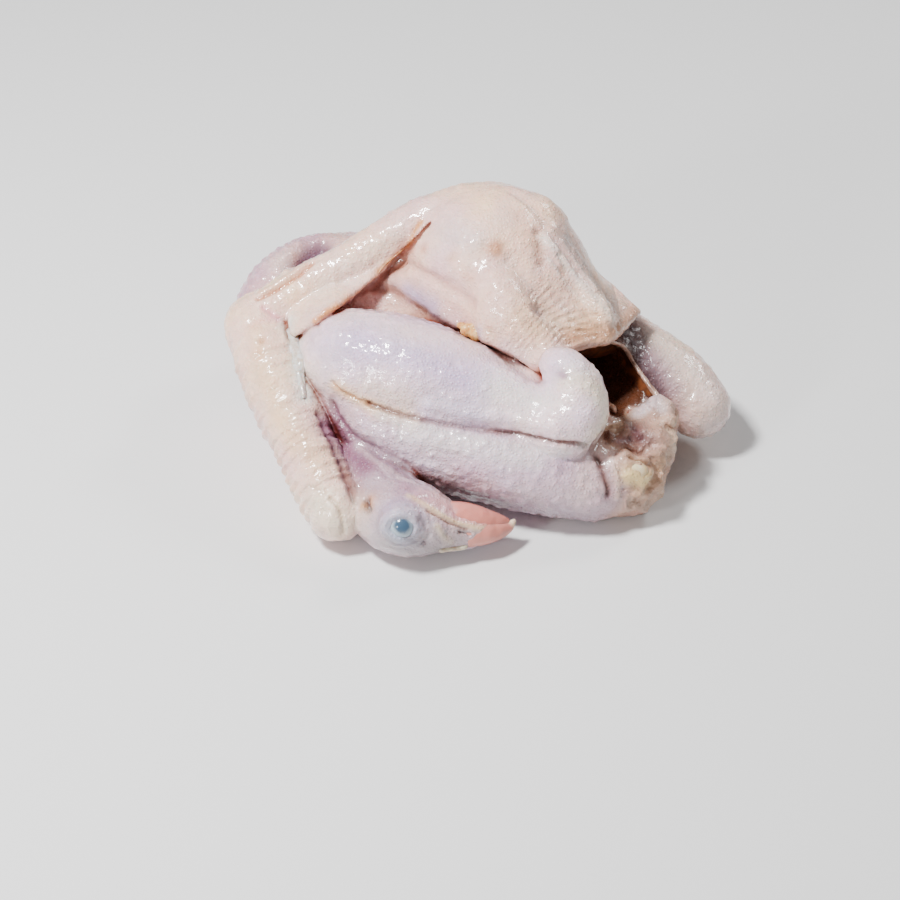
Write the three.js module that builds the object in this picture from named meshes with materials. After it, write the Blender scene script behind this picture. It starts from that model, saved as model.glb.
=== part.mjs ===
// A whole raw chicken, plucked and drawn, with its neck and head left on and its feet cut off at the hocks.
// It lies on its back. The near wing reaches down to the surface in front of the folded near leg, the far leg
// lies along the other side, and the neck comes round under the wing, so that the head lies on its side.
// Millimetres, +Z up, the bird's tail towards +X and -Y. The surface it lies on is the plane z = 0.
//
// Every part is a distance function: an ellipsoid, a tube of changing radius along a smooth curve, or a thin
// sheet. They are blended into one another as flesh and skin are, and the surface where the distance is zero
// becomes one closed mesh.
import * as THREE from "three";

// Driving dimensions. A station is [x, y, z, radius] and a limb is a smooth curve through its stations.
const BODY_YAW = -33; // the way the backbone points, degrees about +Z
const BACK = { centre: [2, -12, 24.5], radii: [62, 42, 28] };
const NEAR_BREAST = { centre: [3, 2, 56], radii: [42, 32, 39], pitch: -4, roll: -10 };
const FAR_BREAST = { centre: [9, 11, 56], radii: [35, 27, 37.5], pitch: -16, roll: 12 };
const CROP = { centre: [-50, 16, 37], radii: [30, 26, 26] };
const BELLY = [[13, 1, 56, 28], [29, -10, 53, 18.5], [42, -20, 52, 11]];
const RUMP = [[20, -34, 20, 18], [46, -50, 16, 14]];
const KEEL = [[20, 8, 85.5, 4.5], [32, -6, 76, 4.5], [41, -19, 67, 4.5], [47, -28, 60, 4]];
const HOCK_SKIN = [[10, -28, 64, 14], [20, -38, 59, 9.5], [25, -44, 55, 7]];
// Skin over the body opening: three lines across it, from inside the breast to its free edge
const FLAP_THICKNESS = 4.5;
const FLAP = [
  [[12, -28, 64], [20, -16, 68], [30, -6, 72], [36, 2, 68], [38, 10, 60]],
  [[20, -38, 60], [30, -30, 65], [40, -20, 65], [47, -9, 61], [51, 0, 55]],
  [[25, -45, 55], [36, -41, 57.5], [48, -36, 56], [54, -25, 53.5], [61, -12, 51.5]],
];
const OPENING = [[72, -66, 44, 9], [59, -48, 40, 11.5], [43, -30, 38, 14.5], [22, -10, 37, 14]];
const THIGH = [
  [-56, -27, 30, 21], [-35, -44, 27, 24], [-6, -57, 23, 22], [22, -68.5, 19.5, 18.5], [41, -73, 15.5, 15],
];
const DRUMSTICK = [
  [-60, -25, 41, 15], [-49, -33, 43, 21], [-30, -40, 43, 22], [-8, -49, 42, 18.5], [13, -60, 40, 13],
  [30, -66, 39, 12.5],
];
const HOCK = [[31, -67, 39, 13], [35, -65, 44, 13], [35, -60, 51, 10.5], [31, -54, 56, 8]];
const FAR_LEG = [
  [18, 32, 27, 22], [38, 16, 26, 18], [61, -6, 27, 14.5], [78, -20, 24, 13.5], [87, -31, 18.5, 12.5],
];
const FAR_HIP = [[20, 26, 30, 20], [22, 10, 28, 22], [24, -4, 24, 22]];
const OPENING_WALL = [[52, -14, 34, 10], [60, -26, 30, 9], [64, -36, 24, 8]];
const TAIL_ROOT = [[40, -65, 16, 15.5], [51, -70, 13, 13], [58, -70, 13, 11.5]];
const TAIL = { centre: [63, -57, 20], radii: [13, 12, 13], yaw: -60 };
const TAIL_LIP = { centre: [67, -48, 25], radii: [9, 6, 9], yaw: 0 };
const UPPER_WING = [
  [-6, 14, 83, 10], [-24, 12, 78, 9.5], [-40, 8, 70, 9], [-56, 2, 62, 9], [-72, -3, 54, 10.5],
  [-87, -11, 45, 12],
];
const FOREARM = [
  [-90.5, -12, 44, 12], [-84, -27, 40, 13], [-76, -46, 32, 13], [-67, -64, 23, 11.5], [-60, -78, 16, 11.5],
  [-55.5, -87, 13, 11],
];
// The web of skin along the upper wing: the line inside the wing, then its free edge
const WEB_THICKNESS = 4.5;
const WEB = [
  [[-14, 14, 80], [-28, 12, 76], [-44, 6, 67], [-60, -1, 58], [-76, -8, 49]],
  [[-20, 10, 79], [-29, 6, 73], [-40, 0, 65], [-54, -9, 55], [-68, -18, 47]],
];
const FAR_UPPER_WING = [[-22, 34, 46, 12], [-42, 42, 34, 12], [-60, 46, 24, 12]];
const FAR_FOREARM = [[-62, 44, 20, 12], [-42, 49, 18, 12], [-19, 48, 16, 12], [-2, 45, 14, 11]];
const NECK = [
  [-50, 24, 44, 17], [-71, 23, 45, 15], [-86, 11, 38, 13.5], [-88, -6, 24, 11], [-76, -26, 14, 11],
  [-64, -40, 13, 11], [-53, -52, 13, 11],
];
const NAPE = [[-56, -46, 13, 10], [-47, -62, 14, 12], [-38, -76, 14, 13]];
const SKULL = { centre: [-30, -91, 13.5], radii: [20, 16, 13.5], yaw: -20 };
const BEAK = [[-22, -93, 12, 10], [-10, -94.5, 10.5, 8], [1, -93, 9.5, 5.5], [9, -91, 9, 2.3]];
const EYELIDS = { centre: [-31, -101, 20], radii: [8.5, 7, 7.5], yaw: -15 };
// How far each shape runs into what stands before it
const BLEND = {
  breast: 9,
  belly: 12,
  back: 18,
  rump: 10,
  crop: 18,
  keel: 10,
  hockSkin: 14,
  hock: 8,
  hip: 14,
  openingWall: 10,
  tailEnd: 8,
  tailLip: 5,
  web: 5,
  forearm: 8,
  skull: 6,
  eyelids: 3,
  flap: 8,
  limb: 5,
  fold: 4,
  farWing: 8,
  openingRim: 3,
  least: 0.01,
};
const CURVE_STEPS = 4; // straight steps between two stations
const FLOOR_ROUNDING = 1.5; // how softly the flesh spreads where it lies
const FOOTPRINT_MIDDLE = [-1.6, -23.4]; // x and y of the middle of the bird's box, which becomes the origin

// How finely the surface is taken, and how many triangles it is brought down to
const CELL = 2.2;
const GRID_LOW = [-110, -114, -CELL / 2];
const GRID_HIGH = [106, 76, 102];
const TRIANGLES = 8500;
const CORNER_MARGIN = 0.04; // a point of the surface keeps this share of a cell's edge away from its ends
const SMOOTH_PASSES = 8;
const SMOOTH_STEP = 0.5;
const MERGE_HOLD = 0.002; // how strongly a merged point keeps to the middle of its edge
const MERGE_LEAST_TURN = 0.35; // cosine of the most that a triangle may turn in one merge
const MERGE_LEAST_AREA = 0.02; // square millimetres, doubled
const FLAT_WITHIN = 0.04; // points this close to the surface below lie on it
const TINY = 1e-9;

const DEGREE = Math.PI / 180;
const CELL_CORNERS = [0, 1, 2, 3, 4, 5, 6, 7].map((n) => [n & 1, (n >> 1) & 1, n >> 2]);

// Distance shapes. Each is { distance(x, y, z), centre, reach }, where a sphere of radius reach holds it.

/** An ellipsoid turned by yaw about Z, pitch (its long end up) and roll about its own long axis, degrees. */
function ellipsoid({ centre, radii, yaw = BODY_YAW, pitch = 0, roll = 0 }) {
  const turn = new THREE.Matrix4().makeRotationZ(yaw * DEGREE);
  turn.multiply(new THREE.Matrix4().makeRotationY(-pitch * DEGREE));
  turn.multiply(new THREE.Matrix4().makeRotationX(roll * DEGREE));
  const m = turn.elements;
  const [a, b, c] = radii;
  function distance(x, y, z) {
    const dx = x - centre[0];
    const dy = y - centre[1];
    const dz = z - centre[2];
    const u = (dx * m[0] + dy * m[1] + dz * m[2]) / a;
    const v = (dx * m[4] + dy * m[5] + dz * m[6]) / b;
    const w = (dx * m[8] + dy * m[9] + dz * m[10]) / c;
    const k = Math.hypot(u, v, w);
    const slope = Math.hypot(u / a, v / b, w / c);
    return slope < TINY ? -Math.min(a, b, c) : (k * (k - 1)) / slope;
  }
  return { distance, centre, reach: Math.max(a, b, c) };
}

/** A cone with a ball at each end, from station p to station q. */
function roundCone(p, q) {
  const [ax, ay, az, r1] = p;
  const bx = q[0] - ax;
  const by = q[1] - ay;
  const bz = q[2] - az;
  const taper = r1 - q[3];
  const length2 = bx * bx + by * by + bz * bz;
  const side2 = length2 - taper * taper;
  return (x, y, z) => {
    const dx = x - ax;
    const dy = y - ay;
    const dz = z - az;
    const along = dx * bx + dy * by + dz * bz;
    const past = along - length2;
    const cx = dx * length2 - bx * along;
    const cy = dy * length2 - by * along;
    const cz = dz * length2 - bz * along;
    const across2 = cx * cx + cy * cy + cz * cz;
    const along2 = along * along * length2;
    const past2 = past * past * length2;
    const k = Math.sign(taper) * taper * taper * across2;
    if (Math.sign(past) * side2 * past2 > k) return Math.sqrt(across2 + past2) / length2 - q[3];
    if (Math.sign(along) * side2 * along2 < k) return Math.sqrt(across2 + along2) / length2 - r1;
    return (Math.sqrt(across2 * side2 / length2) + along * taper) / length2 - r1;
  };
}

/** Points on the smooth curve through the stations, the radius carried along with the place. */
function smoothStations(stations) {
  const first = stations[0].map((v, i) => 2 * v - stations[1][i]);
  const last = stations.at(-1).map((v, i) => 2 * v - stations.at(-2)[i]);
  const p = [first, ...stations, last];
  const out = [];
  for (let i = 1; i < p.length - 2; i++) {
    for (let step = 0; step < CURVE_STEPS; step++) {
      const t = step / CURVE_STEPS;
      out.push(p[i].map((b, j) => {
        const a = p[i - 1][j];
        const c = p[i + 1][j];
        const d = p[i + 2][j];
        return b + 0.5 * t * (c - a + t * (2 * a - 5 * b + 4 * c - d + t * (3 * (b - c) + d - a)));
      }));
    }
  }
  out.push(stations.at(-1));
  return out;
}

/** The sphere round a list of places, with room to spare. */
function bound(places, room) {
  const box = new THREE.Box3().setFromPoints(places.map(([x, y, z]) => new THREE.Vector3(x, y, z)));
  const sphere = box.getBoundingSphere(new THREE.Sphere());
  return { centre: sphere.center.toArray(), reach: sphere.radius + room };
}

/** A limb: round cones end to end along the smooth curve through the stations. */
function tube(stations) {
  const places = smoothStations(stations);
  const cones = places.slice(1).map((q, i) => roundCone(places[i], q));
  function distance(x, y, z) {
    let best = Infinity;
    for (const cone of cones) best = Math.min(best, cone(x, y, z));
    return best;
  }
  return { distance, ...bound(places, Math.max(...places.map((s) => s[3]))) };
}

/** A thin sheet of skin over a grid of points, two triangles to each of its cells. */
function sheet(rows, thickness) {
  const triangles = [];
  const vector = (p) => new THREE.Vector3(...p);
  for (let i = 0; i + 1 < rows.length; i++) {
    for (let j = 0; j + 1 < rows[i].length; j++) {
      const [a, b, c, d] = [rows[i][j], rows[i + 1][j], rows[i][j + 1], rows[i + 1][j + 1]].map(vector);
      triangles.push(new THREE.Triangle(a, b, c), new THREE.Triangle(b, d, c));
    }
  }
  const point = new THREE.Vector3();
  const near = new THREE.Vector3();
  function distance(x, y, z) {
    point.set(x, y, z);
    let best = Infinity;
    for (const triangle of triangles) {
      triangle.closestPointToPoint(point, near);
      best = Math.min(best, near.distanceToSquared(point));
    }
    return Math.sqrt(best) - thickness / 2;
  }
  return { distance, ...bound(rows.flat(), thickness) };
}

/** The smaller of two distances, rounded over where they differ by less than blend. */
function smoothMin(a, b, blend) {
  const h = Math.max(blend - Math.abs(a - b), 0) / blend;
  return Math.min(a, b) - (h * h * h * blend) / 6;
}

/** Shapes joined, or cut away, one after another, each with its own blend to what stands so far. */
function blended(steps) {
  function distance(x, y, z) {
    let d = Infinity;
    for (const { shape, blend, cut } of steps) {
      const [cx, cy, cz] = shape.centre;
      const least = Math.hypot(x - cx, y - cy, z - cz) - shape.reach;
      if (least > (cut ? -d : d) + blend) continue;
      const own = shape.distance(x, y, z);
      d = cut ? -smoothMin(-d, own, blend) : smoothMin(d, own, blend);
    }
    return d;
  }
  const corners = [];
  for (const { shape, cut } of steps) {
    if (cut) continue;
    corners.push(shape.centre.map((v) => v - shape.reach), shape.centre.map((v) => v + shape.reach));
  }
  return { distance, ...bound(corners, 0) };
}

const join = (shape, blend = BLEND.least) => ({ shape, blend });
const cutAway = (shape, blend) => ({ shape, blend, cut: true });

// The bird's parts

/** Back, breast, crop and belly, with the keel ridge and the skin drawn tight to the hock. */
function carcass() {
  return blended([
    join(ellipsoid(NEAR_BREAST)),
    join(ellipsoid(FAR_BREAST), BLEND.breast),
    join(tube(BELLY), BLEND.belly),
    join(ellipsoid(BACK), BLEND.back),
    join(tube(RUMP), BLEND.rump),
    join(ellipsoid(CROP), BLEND.crop),
    join(tube(KEEL), BLEND.keel),
    join(tube(HOCK_SKIN), BLEND.hockSkin),
  ]);
}

/** The near leg: the drumstick folded over the thigh, ending in the bare hock tucked under the skin. */
function nearLeg() {
  return blended([join(tube(DRUMSTICK)), join(tube(HOCK), BLEND.hock)]);
}

/** The far leg, its hip, and the body wall that closes the far side of the opening. */
function farLeg() {
  return blended([
    join(tube(FAR_LEG)),
    join(tube(FAR_HIP), BLEND.hip),
    join(tube(OPENING_WALL), BLEND.openingWall),
  ]);
}

/** The tail: a fleshy root and two crumpled lobes at the rim of the opening. */
function tail() {
  return blended([
    join(tube(TAIL_ROOT)),
    join(ellipsoid(TAIL), BLEND.tailEnd),
    join(ellipsoid(TAIL_LIP), BLEND.tailLip),
  ]);
}

/** The near wing: upper wing with its web of skin, then the forearm down to its folded end. */
function nearWing() {
  return blended([
    join(tube(UPPER_WING)),
    join(sheet(WEB, WEB_THICKNESS), BLEND.web),
    join(tube(FOREARM), BLEND.forearm),
  ]);
}

/** The far wing, folded along the back's far side. */
function farWing() {
  return blended([join(tube(FAR_UPPER_WING)), join(tube(FAR_FOREARM), BLEND.forearm)]);
}

/** The head on its side: nape, skull, closed beak and the swollen eyelids. */
function head() {
  return blended([
    join(tube(NAPE)),
    join(ellipsoid(SKULL), BLEND.skull),
    join(tube(BEAK), BLEND.skull),
    join(ellipsoid(EYELIDS), BLEND.eyelids),
  ]);
}

/** The whole bird, with the body hollowed through the opening and the underside flat where it lies. */
function bird() {
  const whole = blended([
    join(carcass()),
    join(sheet(FLAP, FLAP_THICKNESS), BLEND.flap),
    join(tube(THIGH), BLEND.limb),
    join(nearLeg(), BLEND.fold),
    join(farLeg(), BLEND.limb),
    join(tail(), BLEND.limb),
    join(tube(NECK), BLEND.limb),
    join(nearWing(), BLEND.fold),
    join(farWing(), BLEND.farWing),
    join(head(), BLEND.fold),
    cutAway(tube(OPENING), BLEND.openingRim),
  ]);
  return (x, y, z) => -smoothMin(-whole.distance(x, y, z), z, FLOOR_ROUNDING);
}

// The surface

/** Triangles of the zero surface: each grid cell is split into six tetrahedra, so that it always closes. */
function zeroSurface(distance) {
  const count = [0, 1, 2].map((i) => Math.ceil((GRID_HIGH[i] - GRID_LOW[i]) / CELL) + 1);
  const stride = [1, count[0], count[0] * count[1]];
  const values = new Float32Array(count[0] * count[1] * count[2]);
  function place(index) {
    return GRID_LOW.map((low, axis) => low + CELL * (Math.floor(index / stride[axis]) % count[axis]));
  }
  for (let index = 0; index < values.length; index++) values[index] = distance(...place(index));

  const paths = [[0, 1, 2], [0, 2, 1], [1, 0, 2], [1, 2, 0], [2, 0, 1], [2, 1, 0]];
  const across = stride[0] + stride[1] + stride[2];
  const tetrahedra = paths.map(([i, j]) => [0, stride[i], stride[i] + stride[j], across]);
  const cellCorners = CELL_CORNERS.map(([x, y, z]) => x + y * stride[1] + z * stride[2]);
  const points = [];
  const known = new Map();
  function crossing(inside, outside) {
    const key = Math.min(inside, outside) * values.length + Math.max(inside, outside);
    if (!known.has(key)) {
      const share = values[inside] / (values[inside] - values[outside]);
      const t = THREE.MathUtils.clamp(share, CORNER_MARGIN, 1 - CORNER_MARGIN);
      const [p, q] = [place(inside), place(outside)];
      known.set(key, points.push(p.map((v, i) => v + t * (q[i] - v))) - 1);
    }
    return known.get(key);
  }

  const triangles = [];
  const [a, b, c] = [new THREE.Vector3(), new THREE.Vector3(), new THREE.Vector3()];
  function addFacing(triangle, from, to) {
    [a, b, c].forEach((v, i) => v.fromArray(points[triangle[i]]));
    const normal = b.clone().sub(a).cross(c.clone().sub(a));
    const out = new THREE.Vector3(...place(to)).sub(new THREE.Vector3(...place(from)));
    triangles.push(normal.dot(out) > 0 ? triangle : [triangle[0], triangle[2], triangle[1]]);
  }
  for (let k = 0; k + 1 < count[2]; k++) {
    for (let j = 0; j + 1 < count[1]; j++) {
      for (let i = 0; i + 1 < count[0]; i++) {
        const corner = i + j * stride[1] + k * stride[2];
        const below = cellCorners.filter((offset) => values[corner + offset] < 0).length;
        if (below % CELL_CORNERS.length === 0) continue;
        for (const offsets of tetrahedra) {
          const corners = offsets.map((o) => corner + o);
          const inner = corners.filter((n) => values[n] < 0);
          const outer = corners.filter((n) => values[n] >= 0);
          if (!inner.length || !outer.length) continue;
          if (inner.length === 2) {
            const [p, q] = inner;
            const [r, s] = outer;
            const ring = [crossing(p, r), crossing(q, r), crossing(q, s), crossing(p, s)];
            addFacing([ring[0], ring[1], ring[2]], q, r);
            addFacing([ring[0], ring[2], ring[3]], p, s);
          } else {
            const lone = inner.length === 1 ? inner[0] : outer[0];
            const others = inner.length === 1 ? outer : inner;
            const tip = others.map((n) => (inner.length === 1 ? crossing(lone, n) : crossing(n, lone)));
            addFacing(tip, inner[0], outer[0]);
          }
        }
      }
    }
  }
  return { points, triangles };
}

/** The triangles of the largest connected piece. */
function largestPiece(points, triangles) {
  const parent = points.map((_, i) => i);
  function root(i) {
    while (parent[i] !== i) {
      parent[i] = parent[parent[i]];
      i = parent[i];
    }
    return i;
  }
  for (const [p, q, r] of triangles) {
    parent[root(q)] = root(p);
    parent[root(r)] = root(p);
  }
  const size = new Map();
  for (const [p] of triangles) size.set(root(p), (size.get(root(p)) ?? 0) + 1);
  const [largest] = [...size].sort((x, y) => y[1] - x[1])[0];
  return triangles.filter(([p]) => root(p) === largest);
}

/** Evens out the points where the surface folds in on itself: every second pass pushes back out as far. */
function smoothed(points, triangles) {
  const around = points.map(() => new Set());
  for (const [p, q, r] of triangles) {
    around[p].add(q).add(r);
    around[q].add(p).add(r);
    around[r].add(p).add(q);
  }
  let places = points;
  for (let pass = 0; pass < 2 * SMOOTH_PASSES; pass++) {
    const step = pass % 2 ? -SMOOTH_STEP : SMOOTH_STEP;
    places = places.map((place, i) => {
      const sum = [0, 0, 0];
      for (const n of around[i]) places[n].forEach((v, axis) => (sum[axis] += v));
      const lying = Math.abs(place[2]) < FLAT_WITHIN;
      const count = around[i].size;
      if (count === 0) return place;
      return place.map((v, axis) => (lying && axis === 2 ? v : v + step * (sum[axis] / count - v)));
    });
  }
  return places;
}

/** A heap that gives back its entry of the lowest cost. */
class LowestFirst {
  entries = [];

  put(entry) {
    const list = this.entries;
    let at = list.push(entry) - 1;
    while (at > 0 && list[(at - 1) >> 1].cost > entry.cost) {
      list[at] = list[(at - 1) >> 1];
      at = (at - 1) >> 1;
    }
    list[at] = entry;
  }

  take() {
    const list = this.entries;
    const lowest = list[0];
    const moved = list.pop();
    if (list.length) {
      let at = 0;
      for (let next = 1; next < list.length; next = 2 * at + 1) {
        if (next + 1 < list.length && list[next + 1].cost < list[next].cost) next++;
        if (list[next].cost >= moved.cost) break;
        list[at] = list[next];
        at = next;
      }
      list[at] = moved;
    }
    return lowest;
  }
}

/**
 * Merges edges until about the wanted number of triangles is left. Each point keeps the sum of its triangles'
 * planes as a quadric (a 3 by 3 matrix, a vector and a number), and the edge whose merged point lies closest
 * to all of its planes goes first. An edge stays where merging it would pinch the surface or turn a triangle
 * over.
 */
function reduced(points, triangles, wanted) {
  const faces = triangles.map((t) => [...t]);
  const facesOf = points.map(() => new Set());
  const quadrics = points.map(() => new Float64Array(10));
  const stamp = new Uint32Array(points.length);
  const vector = (p) => new THREE.Vector3(...p);
  function crossOf([p, q, r]) {
    return q.clone().sub(p).cross(r.clone().sub(p));
  }
  faces.forEach((face, index) => {
    const corners = face.map((i) => vector(points[i]));
    const normal = crossOf(corners);
    const area = normal.length() / 2;
    normal.normalize();
    const [x, y, z] = normal.toArray();
    const w = -normal.dot(corners[0]);
    const terms = [x * x, x * y, x * z, y * y, y * z, z * z, x * w, y * w, z * w, w * w];
    for (const i of face) {
      facesOf[i].add(index);
      terms.forEach((v, n) => (quadrics[i][n] += v * area));
    }
  });

  function merged(i, j) {
    const q = quadrics[i].map((v, n) => v + quadrics[j][n]);
    const middle = points[i].map((v, n) => (v + points[j][n]) / 2);
    const hold = (q[0] + q[3] + q[5]) * MERGE_HOLD;
    const matrix = new THREE.Matrix3();
    matrix.set(q[0] + hold, q[1], q[2], q[1], q[3] + hold, q[4], q[2], q[4], q[5] + hold);
    const side = vector([0, 1, 2].map((n) => hold * middle[n] - q[6 + n]));
    const { x, y, z } = side.applyMatrix3(matrix.invert());
    const squares = q[0] * x * x + q[3] * y * y + q[5] * z * z;
    const products = q[1] * x * y + q[2] * x * z + q[4] * y * z;
    const cost = squares + 2 * (products + q[6] * x + q[7] * y + q[8] * z) + q[9];
    const away = (x - middle[0]) ** 2 + (y - middle[1]) ** 2 + (z - middle[2]) ** 2;
    return { point: [x, y, z], cost: cost + hold * away };
  }
  const heap = new LowestFirst();
  function offer(i, j) {
    heap.put({ ...merged(i, j), i, j, stamps: [stamp[i], stamp[j]] });
  }
  function neighbours(i) {
    const out = new Set();
    for (const f of facesOf[i]) faces[f].forEach((n) => out.add(n));
    out.delete(i);
    return out;
  }
  function keepsShape(i, other, point) {
    for (const f of facesOf[i]) {
      if (faces[f].includes(other)) continue;
      const before = crossOf(faces[f].map((n) => vector(points[n])));
      const after = crossOf(faces[f].map((n) => vector(n === i ? point : points[n])));
      if (before.dot(after) < MERGE_LEAST_TURN * before.length() * after.length()) return false;
      if (after.length() < MERGE_LEAST_AREA) return false;
    }
    return true;
  }
  for (const face of faces) {
    face.forEach((i, n) => {
      const next = face[(n + 1) % 3];
      if (i < next) offer(i, next);
    });
  }

  let left = faces.length;
  while (left > wanted && heap.entries.length) {
    const { i, j, point, stamps } = heap.take();
    if (stamps[0] !== stamp[i] || stamps[1] !== stamp[j] || !facesOf[i].size || !facesOf[j].size) continue;
    const around = neighbours(i);
    const shared = [...neighbours(j)].filter((n) => around.has(n));
    if (shared.length !== 2 || !keepsShape(i, j, point) || !keepsShape(j, i, point)) continue;
    points[i] = point;
    quadrics[i] = quadrics[i].map((v, n) => v + quadrics[j][n]);
    for (const f of facesOf[j]) {
      if (faces[f].includes(i)) {
        faces[f].forEach((n) => facesOf[n].delete(f));
        faces[f] = null;
        left--;
      } else {
        faces[f] = faces[f].map((n) => (n === j ? i : n));
        facesOf[i].add(f);
      }
    }
    facesOf[j].clear();
    stamp[i]++;
    for (const n of neighbours(i)) offer(i, n);
  }
  return faces.filter(Boolean);
}

/** The bird as one closed mesh geometry, with the origin under the middle of its box. */
function birdGeometry() {
  const surface = zeroSurface(bird());
  const piece = largestPiece(surface.points, surface.triangles);
  const points = smoothed(surface.points, piece);
  const faces = reduced(points, piece, TRIANGLES);
  const places = points.map(([x, y, z]) => [
    x - FOOTPRINT_MIDDLE[0],
    y - FOOTPRINT_MIDDLE[1],
    Math.abs(z) < FLAT_WITHIN ? 0 : z,
  ]);
  const geometry = new THREE.BufferGeometry();
  const corners = faces.flatMap((face) => face.flatMap((i) => places[i]));
  geometry.setAttribute("position", new THREE.Float32BufferAttribute(corners, 3));
  geometry.computeVertexNormals();
  return geometry;
}

const skin = new THREE.MeshStandardMaterial({ color: 0xdccbc6, roughness: 0.38, metalness: 0 });
const chicken = new THREE.Mesh(birdGeometry(), skin);
chicken.name = "chicken";

const whole = new THREE.Group();
whole.add(chicken);
export default whole;
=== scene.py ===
"""A whole raw chicken, plucked and drawn, lying on its back with its neck and head left on.

The skin is grown as a distance field from the same named sizes as the solid: ellipsoids, tubes of changing
radius and thin sheets, blended as flesh is. The field becomes a fine mesh, which is then given its goose
pimples, folds, stretch lines and stains, and is parted into one piece for each part of the bird. The loose
things, such as the beak, the eye, the fat and the torn membranes, are pieces of their own.

Sizes are millimetres in the working frame until a mesh is made; meshes are metres in the part's frame.
"""

import logging
import math
from dataclasses import dataclass
from enum import Enum
from typing import Sequence

import bpy
import numpy as np
from mathutils import Matrix, Vector

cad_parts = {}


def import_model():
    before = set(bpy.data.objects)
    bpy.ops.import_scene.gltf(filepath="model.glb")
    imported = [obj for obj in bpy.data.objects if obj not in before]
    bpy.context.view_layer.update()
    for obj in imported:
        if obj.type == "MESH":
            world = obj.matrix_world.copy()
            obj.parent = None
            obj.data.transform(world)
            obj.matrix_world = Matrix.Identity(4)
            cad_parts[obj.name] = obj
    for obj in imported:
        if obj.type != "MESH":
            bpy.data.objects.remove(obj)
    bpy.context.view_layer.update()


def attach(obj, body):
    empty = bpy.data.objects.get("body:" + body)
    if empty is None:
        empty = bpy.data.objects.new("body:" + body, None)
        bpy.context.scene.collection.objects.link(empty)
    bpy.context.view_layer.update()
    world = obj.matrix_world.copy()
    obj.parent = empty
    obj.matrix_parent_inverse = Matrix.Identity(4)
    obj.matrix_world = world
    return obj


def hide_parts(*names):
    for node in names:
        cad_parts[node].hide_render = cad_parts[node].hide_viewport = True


LOG = logging.getLogger("chicken")
Array = np.ndarray
Place = tuple[float, float, float]
Station = tuple[float, float, float, float]

MM = 0.001
BODY_YAW = -33.0  # the way the backbone points, degrees about +Z
FOOTPRINT_MIDDLE = (-1.6, -23.4)  # x and y of the working frame that become the origin
FLOOR_ROUNDING = 1.5  # how softly the flesh spreads where it lies
BATCH = 200000  # how many points are measured at a time
SMALL = 1e-9


class Slot(Enum):
    """The record's material slots."""

    SKIN = "skin"
    BEAK = "beak"
    EYE = "eye"


class Join(Enum):
    """What a shape does to those before it."""

    ADD = "add"
    CUT = "cut"


def linear(code: str) -> tuple[float, float, float]:
    """Turn a colour as seen on a screen into the linear values that a shader takes.

    Args:
        code: six hexadecimal digits, with or without the leading sign.

    Returns:
        Red, green and blue from 0 to 1, linear.
    """
    digits = code.lstrip("#")
    parts = [int(digits[i:i + 2], 16) / 255 for i in (0, 2, 4)]
    return tuple(p / 12.92 if p <= 0.04045 else ((p + 0.055) / 1.055) ** 2.4 for p in parts)


def smooth_step(low: float, high: float, values: Array) -> Array:
    """Ease from 0 at low to 1 at high.

    Args:
        low: the value where the step starts; it may be above high, and then the step falls.
        high: the value where the step ends.
        values: the numbers to ease.

    Returns:
        The eased numbers, 0 to 1.
    """
    t = np.clip((values - low) / (high - low), 0, 1)
    return t * t * (3 - 2 * t)


def smooth_curve(stations: Sequence[Sequence[float]], steps: int = 4) -> Array:
    """Run a smooth curve through rows of numbers.

    Args:
        stations: the rows, each a place with whatever is carried along with it.
        steps: how many straight steps lie between two rows.

    Returns:
        The rows of the curve, its first and last row included.
    """
    rows = np.asarray(stations, float)
    if len(rows) < 2:
        return rows
    rows = np.vstack([2 * rows[0] - rows[1], rows, 2 * rows[-1] - rows[-2]])
    out = []
    for i in range(1, len(rows) - 2):
        a, b, c, d = rows[i - 1:i + 3]
        for t in np.arange(steps) / steps:
            out.append(b + 0.5 * t * (c - a + t * (2 * a - 5 * b + 4 * c - d + t * (3 * (b - c) + d - a))))
    out.append(rows[-2])
    return np.array(out)


def smooth_min(a: Array, b: Array, blend: float) -> Array:
    """Take the smaller of two distances, rounded over where they differ by less than blend.

    Args:
        a: distances.
        b: distances at the same points.
        blend: how far the two shapes run into one another, in millimetres.

    Returns:
        The joined distances.
    """
    if blend <= 0:
        return np.minimum(a, b)
    h = np.maximum(blend - np.abs(a - b), 0) / blend
    return np.minimum(a, b) - h * h * h * blend / 6


def spot(points: Array, middle: Place, width: float) -> Array:
    """Give 1 at a place and less and less round it, as a bell of that width."""
    return np.exp(-(np.linalg.norm(points - np.array(middle), axis=1) / width) ** 2)


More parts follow.
